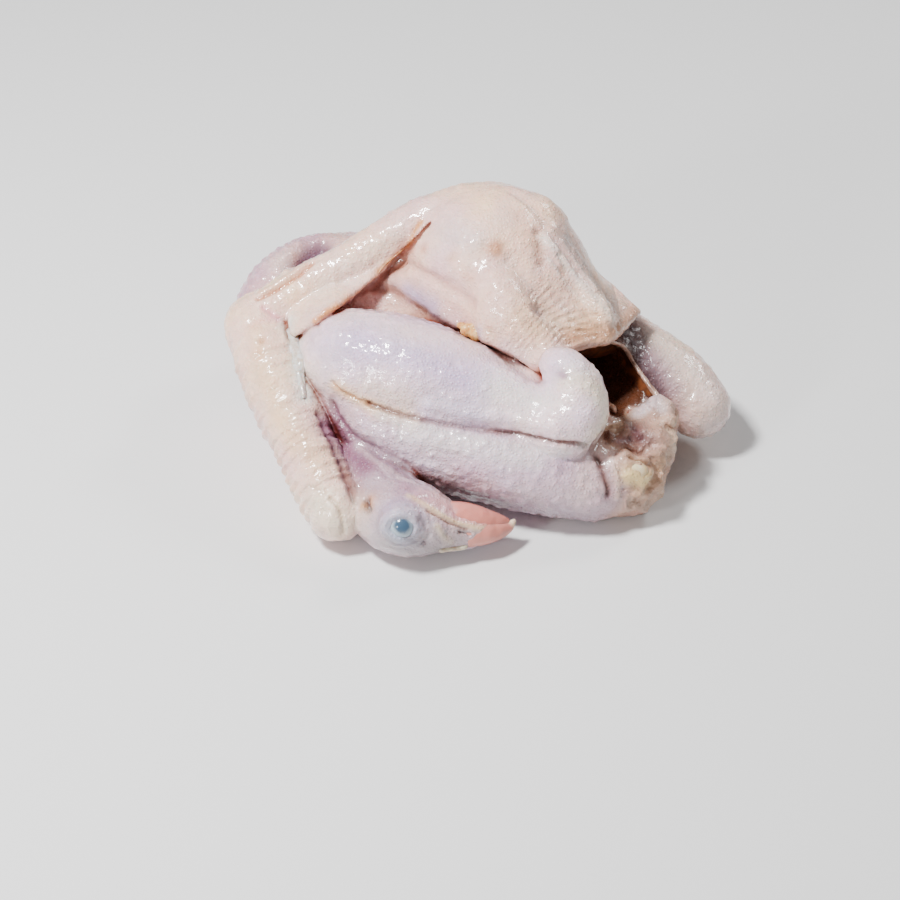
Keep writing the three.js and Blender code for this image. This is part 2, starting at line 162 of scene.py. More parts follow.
class Noise:
    """Random but repeatable patterns in space."""

    PRIMES = np.array((73856093, 19349663, 83492791))
    SEED_STEP = 2654435761
    MIXERS = ((13, 1274126177), (16, 2246822519))  # how far to shift, and what to multiply by
    WORD = 0xFFFFFFFF
    VALUE = 0xFFFFFF
    MARGIN = 0.15  # the nearest that a bump's middle comes to the side of its cell, in cells
    TALLEST = 1.2  # bumps that run together rise no higher than this

    @classmethod
    def _hash(cls, cells: Array, seed: int) -> Array:
        """Give each whole-numbered cell its own value.

        Args:
            cells: the cells' numbers along the three axes.
            seed: which of the patterns.

        Returns:
            Values between 0 and 1.
        """
        key = (cells * cls.PRIMES).astype(np.int64)
        h = key[..., 0] ^ key[..., 1] ^ key[..., 2] ^ (seed * cls.SEED_STEP)
        for shift, mixer in cls.MIXERS:
            h = (h ^ (h >> shift)) * mixer & cls.WORD
        return (h & cls.VALUE) / cls.VALUE

    @classmethod
    def soft(cls, points: Array, size: float | Sequence[float], seed: int = 1) -> Array:
        """Make smooth noise.

        Args:
            points: where it is wanted.
            size: the size of one blob, one number or one for each axis.
            seed: which of the patterns.

        Returns:
            Values between -1 and 1.
        """
        q = points / np.asarray(size, float)
        cell = np.floor(q).astype(np.int64)
        t = q - cell
        t = t * t * (3 - 2 * t)
        total = np.zeros(len(points))
        for corner in np.ndindex(2, 2, 2):
            weight = np.prod(np.where(np.array(corner) == 1, t, 1 - t), axis=1)
            total += weight * cls._hash(cell + np.array(corner), seed)
        return total * 2 - 1

    @classmethod
    def layered(cls, points: Array, size: float | Sequence[float], layers: int = 3, seed: int = 1) -> Array:
        """Add up layers of noise, each half as large and half as strong as the one before.

        Args:
            points: where it is wanted.
            size: the size of the largest blobs, one number or one for each axis.
            layers: how many layers.
            seed: which of the patterns.

        Returns:
            Values between about -1 and 1.
        """
        size = np.asarray(size, float)
        total = sum(cls.soft(points, size / 2 ** i, seed + i) / 2 ** i for i in range(layers))
        return total / (2 - 2 ** (1 - layers))

    @classmethod
    def creased(cls, points: Array, size: float | Sequence[float], layers: int = 1, seed: int = 1) -> Array:
        """Turn noise into round folds with sharp furrows between them, from -1 to 1."""
        return 1 - 2 * np.abs(cls.layered(points, size, layers, seed))

    @classmethod
    def shifts(cls, points: Array, size: float, seed: int) -> Array:
        """Make smooth noise for each axis, to move points by."""
        return np.stack([cls.soft(points, size, seed + i) for i in range(3)], axis=1)

    @classmethod
    def pimples(cls, points: Array, spacing: float, radius: float, seed: int = 1) -> Array:
        """Scatter round bumps through space, so that a surface meets them at uneven distances and heights.

        Args:
            points: where the height is wanted.
            spacing: the mean way from one bump to the next, in millimetres.
            radius: how far a bump reaches, in millimetres.
            seed: which of the patterns.

        Returns:
            Heights from 0 to about 1.
        """
        q = points / spacing
        cell = np.floor(q).astype(np.int64)
        room = 1 - 2 * cls.MARGIN
        total = np.zeros(len(points))
        for step in np.ndindex(3, 3, 3):
            other = cell + np.array(step) - 1
            place = np.stack([cls._hash(other, seed + i) for i in range(3)], axis=1)
            gap2 = ((q - other - cls.MARGIN - room * place) ** 2).sum(axis=1)
            total += np.exp(-gap2 * (spacing / radius) ** 2)
        return np.minimum(total, cls.TALLEST)


class Shape:
    """Something solid, known by the distance to its surface; a ball of radius reach round centre holds it."""

    centre: Array
    reach: float

    def distance(self, points: Array) -> Array:
        """Give the distance from each point to the surface, negative inside."""
        raise NotImplementedError


class Ellipsoid(Shape):
    """An ellipsoid turned about its middle."""

    def __init__(
        self, centre: Place, radii: Place, yaw: float = BODY_YAW, pitch: float = 0, roll: float = 0,
    ) -> None:
        """Place the ellipsoid.

        Args:
            centre: its middle.
            radii: half its length, width and height.
            yaw: how far it is turned about Z, degrees.
            pitch: how far its front end is lifted, degrees.
            roll: how far it is turned about its own length, degrees.
        """
        self.centre = np.array(centre, float)
        self.radii = np.array(radii, float)
        self.reach = float(self.radii.max())
        turn = Matrix.Rotation(math.radians(yaw), 3, "Z") @ Matrix.Rotation(math.radians(-pitch), 3, "Y")
        self.turn = np.array(turn @ Matrix.Rotation(math.radians(roll), 3, "X"))

    def distance(self, points: Array) -> Array:
        """Give the distance to the surface, close enough for points near it.

        Args:
            points: the points.

        Returns:
            The distances, negative inside.
        """
        q = (points - self.centre) @ self.turn
        size = np.sqrt(((q / self.radii) ** 2).sum(axis=1))
        slope = np.sqrt(((q / self.radii ** 2) ** 2).sum(axis=1))
        return np.where(slope < SMALL, -self.radii.min(), size * (size - 1) / np.maximum(slope, SMALL))


class Tube(Shape):
    """A limb: round cones end to end along a smooth curve."""

    def __init__(self, stations: Sequence[Station], steps: int = 4) -> None:
        """Run the limb through its stations.

        Args:
            stations: places and the limb's radius at each.
            steps: how many cones lie between two stations.
        """
        self.rows = smooth_curve(stations, steps)
        places = self.rows[:, :3]
        self.centre = (places.min(axis=0) + places.max(axis=0)) / 2
        self.reach = float(np.linalg.norm(places - self.centre, axis=1).max() + self.rows[:, 3].max())
        lengths = np.linalg.norm(np.diff(places, axis=0), axis=1)
        self.runs = np.concatenate([[0], np.cumsum(lengths)])

    def distance(self, points: Array) -> Array:
        """Give the distance to the nearest of the cones.

        Args:
            points: the points.

        Returns:
            The distances, negative inside.
        """
        best = np.full(len(points), np.inf)
        for p, q in zip(self.rows, self.rows[1:]):
            best = np.minimum(best, self._cone(points, p, q))
        return best

    @staticmethod
    def _cone(points: Array, p: Array, q: Array) -> Array:
        """Give the distance to a cone with a ball at each end.

        Args:
            points: the points.
            p: the place and radius of the first ball.
            q: the place and radius of the second ball.

        Returns:
            The distances, negative inside.
        """
        along = q[:3] - p[:3]
        taper = p[3] - q[3]
        length2 = along @ along
        side2 = length2 - taper * taper
        offset = points - p[:3]
        y = offset @ along
        z = y - length2
        across2 = ((offset * length2 - y[:, None] * along) ** 2).sum(axis=1)
        y2 = y * y * length2
        z2 = z * z * length2
        k = np.sign(taper) * taper * taper * across2
        d = (np.sqrt(across2 * max(side2, 0) / length2) + y * taper) / length2 - p[3]
        d = np.where(np.sign(y) * side2 * y2 < k, np.sqrt(across2 + y2) / length2 - p[3], d)
        return np.where(np.sign(z) * side2 * z2 > k, np.sqrt(across2 + z2) / length2 - q[3], d)

    def along(self, points: Array) -> Array:
        """Say how far along the curve each point lies.

        Args:
            points: the points.

        Returns:
            The way from the first station, in millimetres.
        """
        best = np.full(len(points), np.inf)
        out = np.zeros(len(points))
        for i in range(len(self.rows) - 1):
            start = self.rows[i, :3]
            step = self.rows[i + 1, :3] - start
            t = np.clip((points - start) @ step / (step @ step), 0, 1)
            gap = ((points - start - t[:, None] * step) ** 2).sum(axis=1)
            nearer = gap < best
            best[nearer] = gap[nearer]
            out[nearer] = self.runs[i] + t[nearer] * (self.runs[i + 1] - self.runs[i])
        return out

    def rings(self, points: Array) -> Array:
        """Give places by the way along the limb, height and depth, for wrinkles that run across it."""
        return np.stack([self.along(points), points[:, 2], points[:, 1]], axis=1)


class Sheet(Shape):
    """A thin sheet of skin over a grid of points, two triangles to each of its cells."""

    def __init__(self, rows: Sequence[Sequence[Place]], thickness: float) -> None:
        """Lay the sheet over its points.

        Args:
            rows: the rows of points.
            thickness: how thick it is, in millimetres.
        """
        self.grid = np.array(rows, float)
        self.thickness = thickness
        flat = self.grid.reshape(-1, 3)
        self.centre = (flat.min(axis=0) + flat.max(axis=0)) / 2
        self.reach = float(np.linalg.norm(flat - self.centre, axis=1).max() + thickness)

    def distance(self, points: Array) -> Array:
        """Give the distance to the nearest of the triangles, less half the thickness.

        Args:
            points: the points.

        Returns:
            The distances, negative inside.
        """
        g = self.grid
        best = np.full(len(points), np.inf)
        for i, j in np.ndindex(g.shape[0] - 1, g.shape[1] - 1):
            best = np.minimum(best, self._triangle(points, g[i, j], g[i + 1, j], g[i, j + 1]))
            best = np.minimum(best, self._triangle(points, g[i + 1, j], g[i + 1, j + 1], g[i, j + 1]))
        return np.sqrt(best) - self.thickness / 2

    @staticmethod
    def _triangle(points: Array, a: Array, b: Array, c: Array) -> Array:
        """Give the squared distance to a triangle.

        Args:
            points: the points.
            a: its first corner.
            b: its second corner.
            c: its third corner.

        Returns:
            The squared distances.
        """
        normal = np.cross(b - a, a - c)
        side = np.zeros(len(points))
        edges = np.full(len(points), np.inf)
        for start, end in ((a, b), (b, c), (c, a)):
            edge = end - start
            offset = points - start
            side += np.sign(offset @ np.cross(edge, normal))
            t = np.clip(offset @ edge / (edge @ edge), 0, 1)
            edges = np.minimum(edges, ((offset - t[:, None] * edge) ** 2).sum(axis=1))
        flat = ((points - a) @ normal) ** 2 / (normal @ normal)
        return np.where(side < 2, edges, flat)


class Blended(Shape):
    """Shapes joined, or cut away, one after another, each with its own blend to what stands so far."""

    FAR = 1000.0

    def __init__(self, *steps: tuple) -> None:
        """Take the shapes.

        Args:
            steps: each a shape, its blend in millimetres and, where it is cut away, Join.CUT.
        """
        self.steps = [(shape, blend, kind[0] if kind else Join.ADD) for shape, blend, *kind in steps]
        kept = [shape for shape, _, kind in self.steps if kind is Join.ADD]
        low = np.min([s.centre - s.reach for s in kept], axis=0)
        high = np.max([s.centre + s.reach for s in kept], axis=0)
        self.centre = (low + high) / 2
        self.reach = float(np.linalg.norm(high - low) / 2)

    def distance(self, points: Array) -> Array:
        """Give the distance to the joined surface, trying each shape only near it.

        Args:
            points: the points.

        Returns:
            The distances, negative inside.
        """
        d = np.full(len(points), self.FAR)
        for shape, blend, kind in self.steps:
            sign = -1 if kind is Join.CUT else 1
            least = np.linalg.norm(points - shape.centre, axis=1) - shape.reach
            near = least < sign * d + blend + 1
            if near.any():
                own = shape.distance(points[near])
                d[near] = sign * smooth_min(sign * d[near], own, blend)
        return d


@dataclass
class Mark:
    """A stain, groove or ridge along a short path on the skin; a path of one place is a spot.

    Attributes:
        path: the places that it runs through.
        radius: how far it reaches to each side, in millimetres.
        colour: what it tints the skin, or None for a form without a colour.
        strength: how much of its colour it lays on, 0 to 1.
        depth: how far it presses the skin in, in millimetres; below 0 it stands proud.
        ragged: how uneven its rim is, 0 to 1.
    """

    path: Sequence[Place]
    radius: float
    colour: str | None = None
    strength: float = 0.7
    depth: float = 0.0
    ragged: float = 0.35

    WIDEST = 2.6  # how far out a mark is still felt, in radii
    FALL = 1.4  # how fast it fades outwards
    BLOB = 1.3  # the size of its rim's unevenness, in radii
    SEED = 41

    def share(self, points: Array, rows: Array) -> Array:
        """Say how strongly each point is under the mark.

        Args:
            points: the points.
            rows: the mark's path, moved onto the skin.

        Returns:
            0 away from the mark, 1 at its middle.
        """
        out = np.zeros(len(points))
        reach = self.radius * self.WIDEST
        near = ((points > rows.min(axis=0) - reach) & (points < rows.max(axis=0) + reach)).all(axis=1)
        if not near.any():
            return out
        at = points[near]
        gap2 = ((at - rows[0]) ** 2).sum(axis=1)
        for start, end in zip(rows, rows[1:]):
            step = end - start
            t = np.clip((at - start) @ step / max(step @ step, SMALL), 0, 1)
            gap2 = np.minimum(gap2, ((at - start - t[:, None] * step) ** 2).sum(axis=1))
        uneven = 1 + self.ragged * Noise.layered(at, self.radius * self.BLOB, 2, self.SEED)
        gap = np.sqrt(gap2) / self.radius * uneven
        out[near] = np.exp(-gap ** 2 * self.FALL)
        return out


@dataclass
class BodyPart:
    """A part of the bird: its shape, its own relief and the colour of its skin.

    Attributes:
        name: what its piece of skin is named after.
        tone: the plain colour of its skin.
        pimple_height: how high its goose pimples are, in millimetres.
        pimple_spacing: how far apart they are, in millimetres.
        pimple_radius: how wide they are, in millimetres.
        marks: its stains and small forms.
    """

    name: str = "part"
    tone: str = "dccbc6"
    pimple_height: float = 0.5
    pimple_spacing: float = 3.4
    pimple_radius: float = 1.2
    marks: Sequence[Mark] = ()

    def shape(self) -> Shape:
        """Give the part's form."""
        raise NotImplementedError

    def relief(self, p: Array) -> Array:
        """Give how far the skin stands proud of the plain form at each place, in millimetres."""
        return np.zeros(len(p))

    def all_marks(self) -> list[Mark]:
        """List the part's stains and small forms."""
        return list(self.marks)


@dataclass
class Carcass(BodyPart):
    """Back, breast, crop and belly, with the keel ridge and the skin drawn tight to the hock."""

    name: str = "breast_and_back"
    tone: str = "f0d7ca"
    pimple_height: float = 0.34
    back: Place = (2, -12, 24.5)
    near_breast: Place = (3, 2, 56)
    far_breast: Place = (9, 11, 56)
    crop: Place = (-50, 16, 37)
    belly: Sequence[Station] = ((13, 1, 56, 28), (29, -10, 53, 18.5), (42, -20, 52, 11))
    rump: Sequence[Station] = ((20, -34, 20, 18), (46, -50, 16, 14))
    keel: Sequence[Station] = ((20, 8, 85.5, 4.5), (32, -6, 76, 4.5), (41, -19, 67, 4.5), (47, -28, 60, 4))
    hock_skin: Sequence[Station] = ((10, -28, 64, 14), (20, -38, 59, 9.5), (25, -44, 55, 7))
    flank_flesh: Sequence[Station] = (
        (-2, -38, 50, 5), (9, -44, 48, 5.5), (17, -49, 46, 5.5), (24, -54, 44, 5.5),
    )
    flap: Sequence[Sequence[Place]] = (
        ((12, -28, 64), (20, -16, 68), (30, -6, 72), (36, 2, 68), (38, 10, 60)),
        ((20, -38, 60), (30, -30, 65), (40, -20, 65), (47, -9, 61), (51, 0, 55)),
        ((25, -45, 55), (36, -41, 57.5), (48, -36, 56), (54, -25, 53.5), (61, -12, 51.5)),
    )
    flap_corner: Place = (50, -33, 58)
    keel_end: Place = (51, -31, 61)
    keel_top: Place = (22, -8, 90)
    hock_middle: Place = (14, -44, 61)
    line_height: float = 0.85
    fan_height: float = 0.85
    fold_height: float = 0.6
    swell: float = 0.5
    marks: Sequence[Mark] = (
        # Brown and pink spots
        Mark([(5, -18, 87)], 3.8, "a5683f", 0.9),
        Mark([(-32, -2, 76), (-28, -4, 77)], 2.4, "c48f7e", 0.7),
        Mark([(8, -10, 92), (16, -14, 90)], 7, "e2bda6", 0.5),
        Mark([(1, -17, 87), (6, -20, 86)], 2.6, "c79a7c", 0.5),
        Mark([(-22, -8, 79)], 2.4, "c79583", 0.7),
        Mark([(-11, -17, 81)], 2.4, "cda38b", 0.6),
        Mark([(-4, -24, 77)], 3.5, "d6ab98", 0.45),
        Mark([(13, -6, 93)], 3.4, "d3ae9d", 0.5),
        Mark([(3, -40, 64)], 2.6, "d8b192", 0.5),
        # Swellings and hollows of the breast
        Mark([(14, 8, 94)], 10, depth=-1.6),
        Mark([(12, 6, 94), (19, 1, 93), (25, -4, 90)], 2.4, "d2bbb6", 0.3, 1.3),
        Mark([(27, 8, 89), (31, 10, 84)], 7, depth=-1.8),
        Mark([(-2, -15, 87)], 9, depth=-1.4),
        Mark([(5, -30, 80)], 7, depth=-1.0),
        Mark([(36, -4, 80), (46, -12, 72), (56, -18, 62)], 6, depth=1.6),
        # Creases where the skin bunches beside the keel, tinted brownish as painted shade
        Mark([(22, -11, 88), (23, -15, 86), (24, -21, 82)], 3.4, "c2a396", 0.65, 1.8),
        Mark([(30, -16, 82), (33, -21, 78)], 2.2, "c4a087", 0.55, 0.9),
        Mark([(10, -22, 84), (16, -27, 80), (22, -33, 75), (27, -37, 70)], 4.6, "d2bdb4", 0.4, 2.2),
        Mark([(20, -37, 72), (25, -36, 70)], 2.6, "c8b2b6", 0.7, 1.4),
        # Pale stretched ridges along the keel, and the shade beside them
        Mark(
            [(24, -12, 88), (30, -16, 81), (36, -20, 75), (44, -26, 68), (50, -31, 62)],
            2.3, "e9e1dc", 0.65, -1.3,
        ),
        Mark([(26, -19, 84), (34, -25, 76), (43, -32, 68)], 1.0, "e6dcd6", 0.5, -0.5),
        Mark([(31, -9, 84), (40, -18, 75), (50, -26, 65)], 0.9, "ddd4d0", 0.6, -0.6),
        Mark([(36, -8, 80), (46, -17, 71), (54, -24, 62)], 0.9, "d2c7c2", 0.6, -0.5),
        Mark([(34, -6, 82), (48, -14, 70), (58, -16, 61)], 10, "a99a94", 0.85),
        # Lilac and cream patches
        Mark([(-3, -14, 88), (-12, -8, 86)], 9, "cfc5cc", 0.5),
        Mark([(8, -8, 93)], 8, "d7c6c6", 0.4),
        Mark([(28, -36, 66), (40, -33, 62)], 9, "d8bfa8", 0.65),
        Mark([(36, -40, 61), (41, -36, 61), (46, -37, 59)], 6.5, "b89478", 0.75),
        Mark([(-32, -7, 60), (-20, -18, 62), (-6, -30, 60)], 5.5, "c79f9a", 0.7),
        # Brown painted shadow in the slit under the web's edge
        Mark([(-30, 0, 74), (-36, 0, 62)], 5, "b07c6e", 0.6),
        # The flap's stained rim, and the folds down to the wing and the leg, dark with painted shade
        Mark([(34, -40, 60), (46, -36, 58), (54, -27, 56), (60, -14, 53)], 4.5, "b08c78", 0.75),
        Mark([(-42, -3, 57), (-32, -8, 57), (-22, -19, 57)], 2.6, "8a6259", 0.8, 1.4),
        Mark(
            [(-24, -17, 60), (-11, -28, 57), (3, -41, 55), (11, -46, 52), (18, -47, 47), (24, -51, 47)],
            2.6, "4a2a20", 0.97, 0.2,
        ),
        Mark([(2, -38, 60), (12, -44, 58), (20, -47, 56), (27, -50, 57)], 4.5, depth=-2.2),
        Mark([(22, -50, 52), (25, -48, 59)], 1.3, "c98a5c", 0.8),
        # The fold that swells out under the wing's web
        Mark([(-36, -3, 61), (-28, -12, 61), (-19, -20, 61), (-10, -29, 59)], 4.4, "c9b3b4", 0.5, -2.2),
        Mark([(-26, -10, 62), (-17, -20, 62)], 4.5, "a99db8", 0.6),
        Mark([(-34, 1, 68), (-24, -8, 70), (-12, -20, 70), (-2, -29, 68)], 3.4, "cfa99d", 0.4, 1.5),
        Mark([(-20, -10, 76), (-8, -20, 78), (4, -28, 76), (14, -38, 68)], 7, depth=-1.5),
        Mark([(0, -37, 61)], 4, "b4a9ba", 0.6),
        Mark([(10, -42, 60), (18, -45, 57)], 5, "cdb9c0", 0.45),
    )

    def shape(self) -> Shape:
        """Give the part's form."""
        return Blended(
            (Ellipsoid(self.near_breast, (42, 32, 39), pitch=-4, roll=-10), 0),
            (Ellipsoid(self.far_breast, (35, 27, 37.5), pitch=-16, roll=12), 7),
            (Tube(self.belly), 12),
            (Ellipsoid(self.back, (62, 42, 28)), 18),
            (Tube(self.rump), 10),
            (Ellipsoid(self.crop, (30, 26, 26)), 18),
            (Tube(self.keel), 8),
            (Tube(self.hock_skin), 14),
            (Tube(self.flank_flesh), 3),
            (Sheet(self.flap, 4.0), 8),
        )

    def relief(self, p: Array) -> Array:
        """Give how far the skin stands proud of the plain form.

        Args:
            p: places on the skin.

        Returns:
            The heights, in millimetres.
        """
        frame = self._keel_frame()
        folds = spot(p, self.hock_middle, 15) * Noise.layered(p @ frame, (16, 1.5, 2.4), 2, 19)
        out = self.line_height * self._stretch_lines(p, frame) + self.fan_height * self._corner_fan(p)
        return out + self.fold_height * folds + self.swell * Noise.layered(p, 15, 2, 3)

    def _keel_frame(self) -> Array:
        """Give the directions along the keel, to its side and out of it.

        Returns:
            The three directions, a column each.
        """
        way = np.subtract(self.keel_end, self.keel_top).astype(float)
        way /= np.linalg.norm(way)
        side = np.cross(way, (0, 0, 1))
        side /= np.linalg.norm(side)
        return np.stack([way, side, np.cross(way, side)], axis=1)

    def _stretch_lines(self, p: Array, frame: Array) -> Array:
        """Give the fine lines in the skin drawn tight along the keel.

        Args:
            p: places on the skin.
            frame: the directions of the keel.

        Returns:
            Heights between -1 and 1.
        """
        length = np.linalg.norm(np.subtract(self.keel_end, self.keel_top))
        local = (p - np.array(self.keel_top)) @ frame
        taut = smooth_step(-8, 8, local[:, 0]) * smooth_step(length + 14, length - 4, local[:, 0])
        taut *= np.exp(-((local[:, 1] - 1) / 9) ** 2) * smooth_step(-16, -4, -np.abs(local[:, 2]))
        return taut * Noise.layered(local, (34, 1.7, 3.4), 2, 7)

    def _corner_fan(self, p: Array) -> Array:
        """Give the wrinkles that fan out from the lower corner of the flap.

        Args:
            p: places on the skin.

        Returns:
            Heights between -1 and 1.
        """
        offset = p - np.array(self.flap_corner)
        reach = np.linalg.norm(offset, axis=1)
        fan = np.exp(-((reach - 14) / 13) ** 2) * smooth_step(76, 66, p[:, 2]) * smooth_step(48, 56, p[:, 2])
        fan *= smooth_step(-6, 2, -offset[:, 0] * 0.6 - offset[:, 1] * 0.4 + 6)
        return fan * Noise.layered(offset / np.maximum(reach, 2)[:, None] * 16, 1.15, 2, 13)

    @staticmethod
    def _wrinkles(count: int = 10) -> list[Mark]:
        """Lay fine wrinkles side by side from the hock up over the flank, where the skin is drawn tight.

        Args:
            count: how many there are.

        Returns:
            The wrinkles.
        """
        first = np.array(((4, -43, 60), (14, -36, 70), (25, -27, 79)))
        last = np.array(((27, -47, 61), (35, -40, 64), (47, -34, 61)))
        shares = np.linspace(0, 1, count) ** 1.25
        return [Mark(first * (1 - t) + last * t, 0.7, "c9a793", 0.35, 0.36, 0.8) for t in shares]

    def all_marks(self) -> list[Mark]:
        """List the fine wrinkles of the flank, then the other marks."""
        return self._wrinkles() + list(self.marks)


@dataclass
class Thigh(BodyPart):
    """The near thigh, under the folded drumstick."""

    name: str = "near_thigh"
    tone: str = "d3c0c8"
    pimple_height: float = 0.65
    pimple_spacing: float = 3.2
    line: Sequence[Station] = (
        (-56, -27, 30, 21), (-35, -44, 27, 24), (-6, -57, 23, 22), (22, -68.5, 19.5, 18.5),
        (41, -73, 15.5, 15),
    )
    marks: Sequence[Mark] = (
        Mark([(-56, -53, 47), (-47, -58, 44), (-38, -62, 42), (-26, -67, 40)], 3.8, "e0bf9a", 0.85, -0.6),
        # The start of the groove under the drumstick, painted brown as shade
        Mark([(-57, -51, 48), (-52, -56, 45), (-44, -60, 44)], 0.9, "a87a5c", 0.8, 0.8, 0.5),
        Mark([(-38, -63, 41), (-16, -72, 39), (8, -77, 38), (32, -82, 36)], 3.2, "dcd5d4", 0.6),
        # The groove under the drumstick, painted dark brown as shade
        Mark(
            [
                (-44, -60, 44), (-36, -63, 43), (-24, -67, 42), (-4, -71, 41), (9, -73, 40), (21, -77, 41),
                (34, -80, 41), (41, -79, 37),
            ],
            1.3, "64392b", 0.95, 1.7, 0.5,
        ),
        Mark([(-24, -71, 37), (0, -76, 35), (26, -82, 34)], 5, depth=-1.2),
        Mark([(10, -84, 22), (30, -86, 22)], 14, "bfb0b8", 0.5),
        # Painted shade on the thigh's lower side, near the floor
        Mark([(-10, -80, 14), (20, -86, 10), (40, -88, 9)], 9, "7e6c76", 0.8),
        # Dark painted shade in the groove where the thigh meets the wing and the head
        Mark([(-58, -53, 38), (-51, -62, 30), (-43, -69, 29), (-30, -75, 24)], 2.2, "4a2c27", 0.95, 1.4),
        Mark([(-40, -66, 30), (-20, -74, 26)], 11, "e3d8e2", 0.6),
        Mark([(-30, -68, 36), (-6, -76, 34), (20, -82, 33)], 5, "ece4e6", 0.6),
        Mark([(40, -83, 30), (38, -85, 20)], 7, "d3bfbb", 0.5),
    )

    def shape(self) -> Shape:
        """Give the part's form."""
        return Tube(self.line)

    def relief(self, p: Array) -> Array:
        """Give how far the skin stands proud: slack skin, knobbly along the lower edge."""
        knobs = smooth_step(24, 8, p[:, 2]) * Noise.pimples(p, 5.2, 1.7, 23)
        return 0.6 * Noise.layered(p, (17, 17, 11), 2, 5) + 0.55 * knobs


@dataclass
class Drumstick(BodyPart):
    """The near drumstick folded over the thigh, ending in the bare hock tucked under the skin."""

    name: str = "near_drumstick"
    tone: str = "ebdde2"
    pimple_height: float = 0.42
    pimple_spacing: float = 3.5
    line: Sequence[Station] = (
        (-60, -25, 41, 15), (-49, -33, 43, 21), (-30, -40, 43, 22), (-8, -49, 42, 18.5), (13, -60, 40, 13),
        (30, -66, 39, 12.5),
    )
    hock: Sequence[Station] = ((31, -67, 39, 13), (35, -65, 44, 13), (35, -60, 51, 10.5), (31, -54, 56, 8))
    marks: Sequence[Mark] = (
        Mark([(-20, -63, 46), (-4, -67, 45), (12, -70, 45), (28, -76, 45)], 3.2, depth=-1.3),
        Mark([(-48, -44, 60), (-24, -52, 58), (-4, -60, 52)], 10, "c0b0cb", 0.8),
        Mark([(-56, -44, 54)], 10, "cfc2cc", 0.5),
        Mark([(-20, -66, 48), (-2, -70, 45)], 7, "cfc6d6", 0.6),
        Mark([(6, -62, 53), (22, -68, 52)], 9, "e8e2df", 0.7),
        Mark([(33, -62, 56), (44, -66, 47), (43, -74, 42)], 5, "ecdfcc", 0.7),
        Mark([(-44, -58, 50), (-30, -63, 47)], 5, "dccab9", 0.5),
        # The bruise on the hock, in its pale ring
        Mark([(29.5, -62, 60.5), (30.5, -63, 60)], 2.0, "6b2f55", 0.95, 0.2),
        Mark([(29, -61, 61)], 3.6, "c9b8c6", 0.6),
        Mark([(36, -74, 50)], 7, "f0dfea", 0.6),
        Mark([(24, -75, 48)], 6, "f4dcdc", 0.5),
        Mark([(34, -60, 60)], 6, "f0e6e0", 0.5),
        Mark([(42, -68, 52), (44, -68, 44)], 6, "e5dacb", 0.6),
        Mark([(40, -76, 40)], 6, "e2dad6", 0.6),
    )

    def shape(self) -> Shape:
        """Give the part's form."""
        return Blended((Tube(self.line), 0), (Tube(self.hock), 8))

    def relief(self, p: Array) -> Array:
        """Give how far the skin stands proud: long soft hollows between the muscles."""
        return 0.9 * Noise.layered(p, (22, 11, 11), 2, 31)


@dataclass
class FarLeg(BodyPart):
    """The far leg with its hip, stretched out along the other side."""

    name: str = "far_leg"
    tone: str = "dfccc3"
    pimple_height: float = 0.42
    pimple_spacing: float = 2.9
    line: Sequence[Station] = (
        (18, 32, 27, 22), (38, 16, 26, 18), (61, -6, 27, 14.5), (78, -20, 24, 13.5), (87, -31, 18.5, 12.5),
    )
    hip: Sequence[Station] = ((20, 26, 30, 20), (22, 10, 28, 22), (24, -4, 24, 22))
    wall: Sequence[Station] = ((52, -14, 34, 10), (60, -26, 30, 9), (64, -36, 24, 8))
    marks: Sequence[Mark] = (
        # Painted shade: dark purple-brown down the far leg's shaded side
        Mark([(60, -8, 45), (65, -18, 41), (67, -26, 38), (70, -35, 31)], 10, "4a2c2c", 1.0),
        Mark([(56, -12, 46), (61, -21, 42), (64, -30, 38), (67, -37, 31)], 6.5, "341a19", 1.0),
        Mark([(68, -24, 39), (75, -34, 31)], 7, "b79ea6", 0.6),
        Mark([(72, -14, 38), (84, -28, 32), (92, -36, 24)], 8, "e0d3cb", 0.6),
        Mark([(92, -42, 16)], 8, "cfc3be", 0.5),
    )

    def shape(self) -> Shape:
        """Give the part's form."""
        return Blended((Tube(self.line), 0), (Tube(self.hip), 14), (Tube(self.wall), 10))

    def relief(self, p: Array) -> Array:
        """Give how far the skin stands proud: soft waves."""
        return 0.4 * Noise.layered(p, 14, 2, 37)


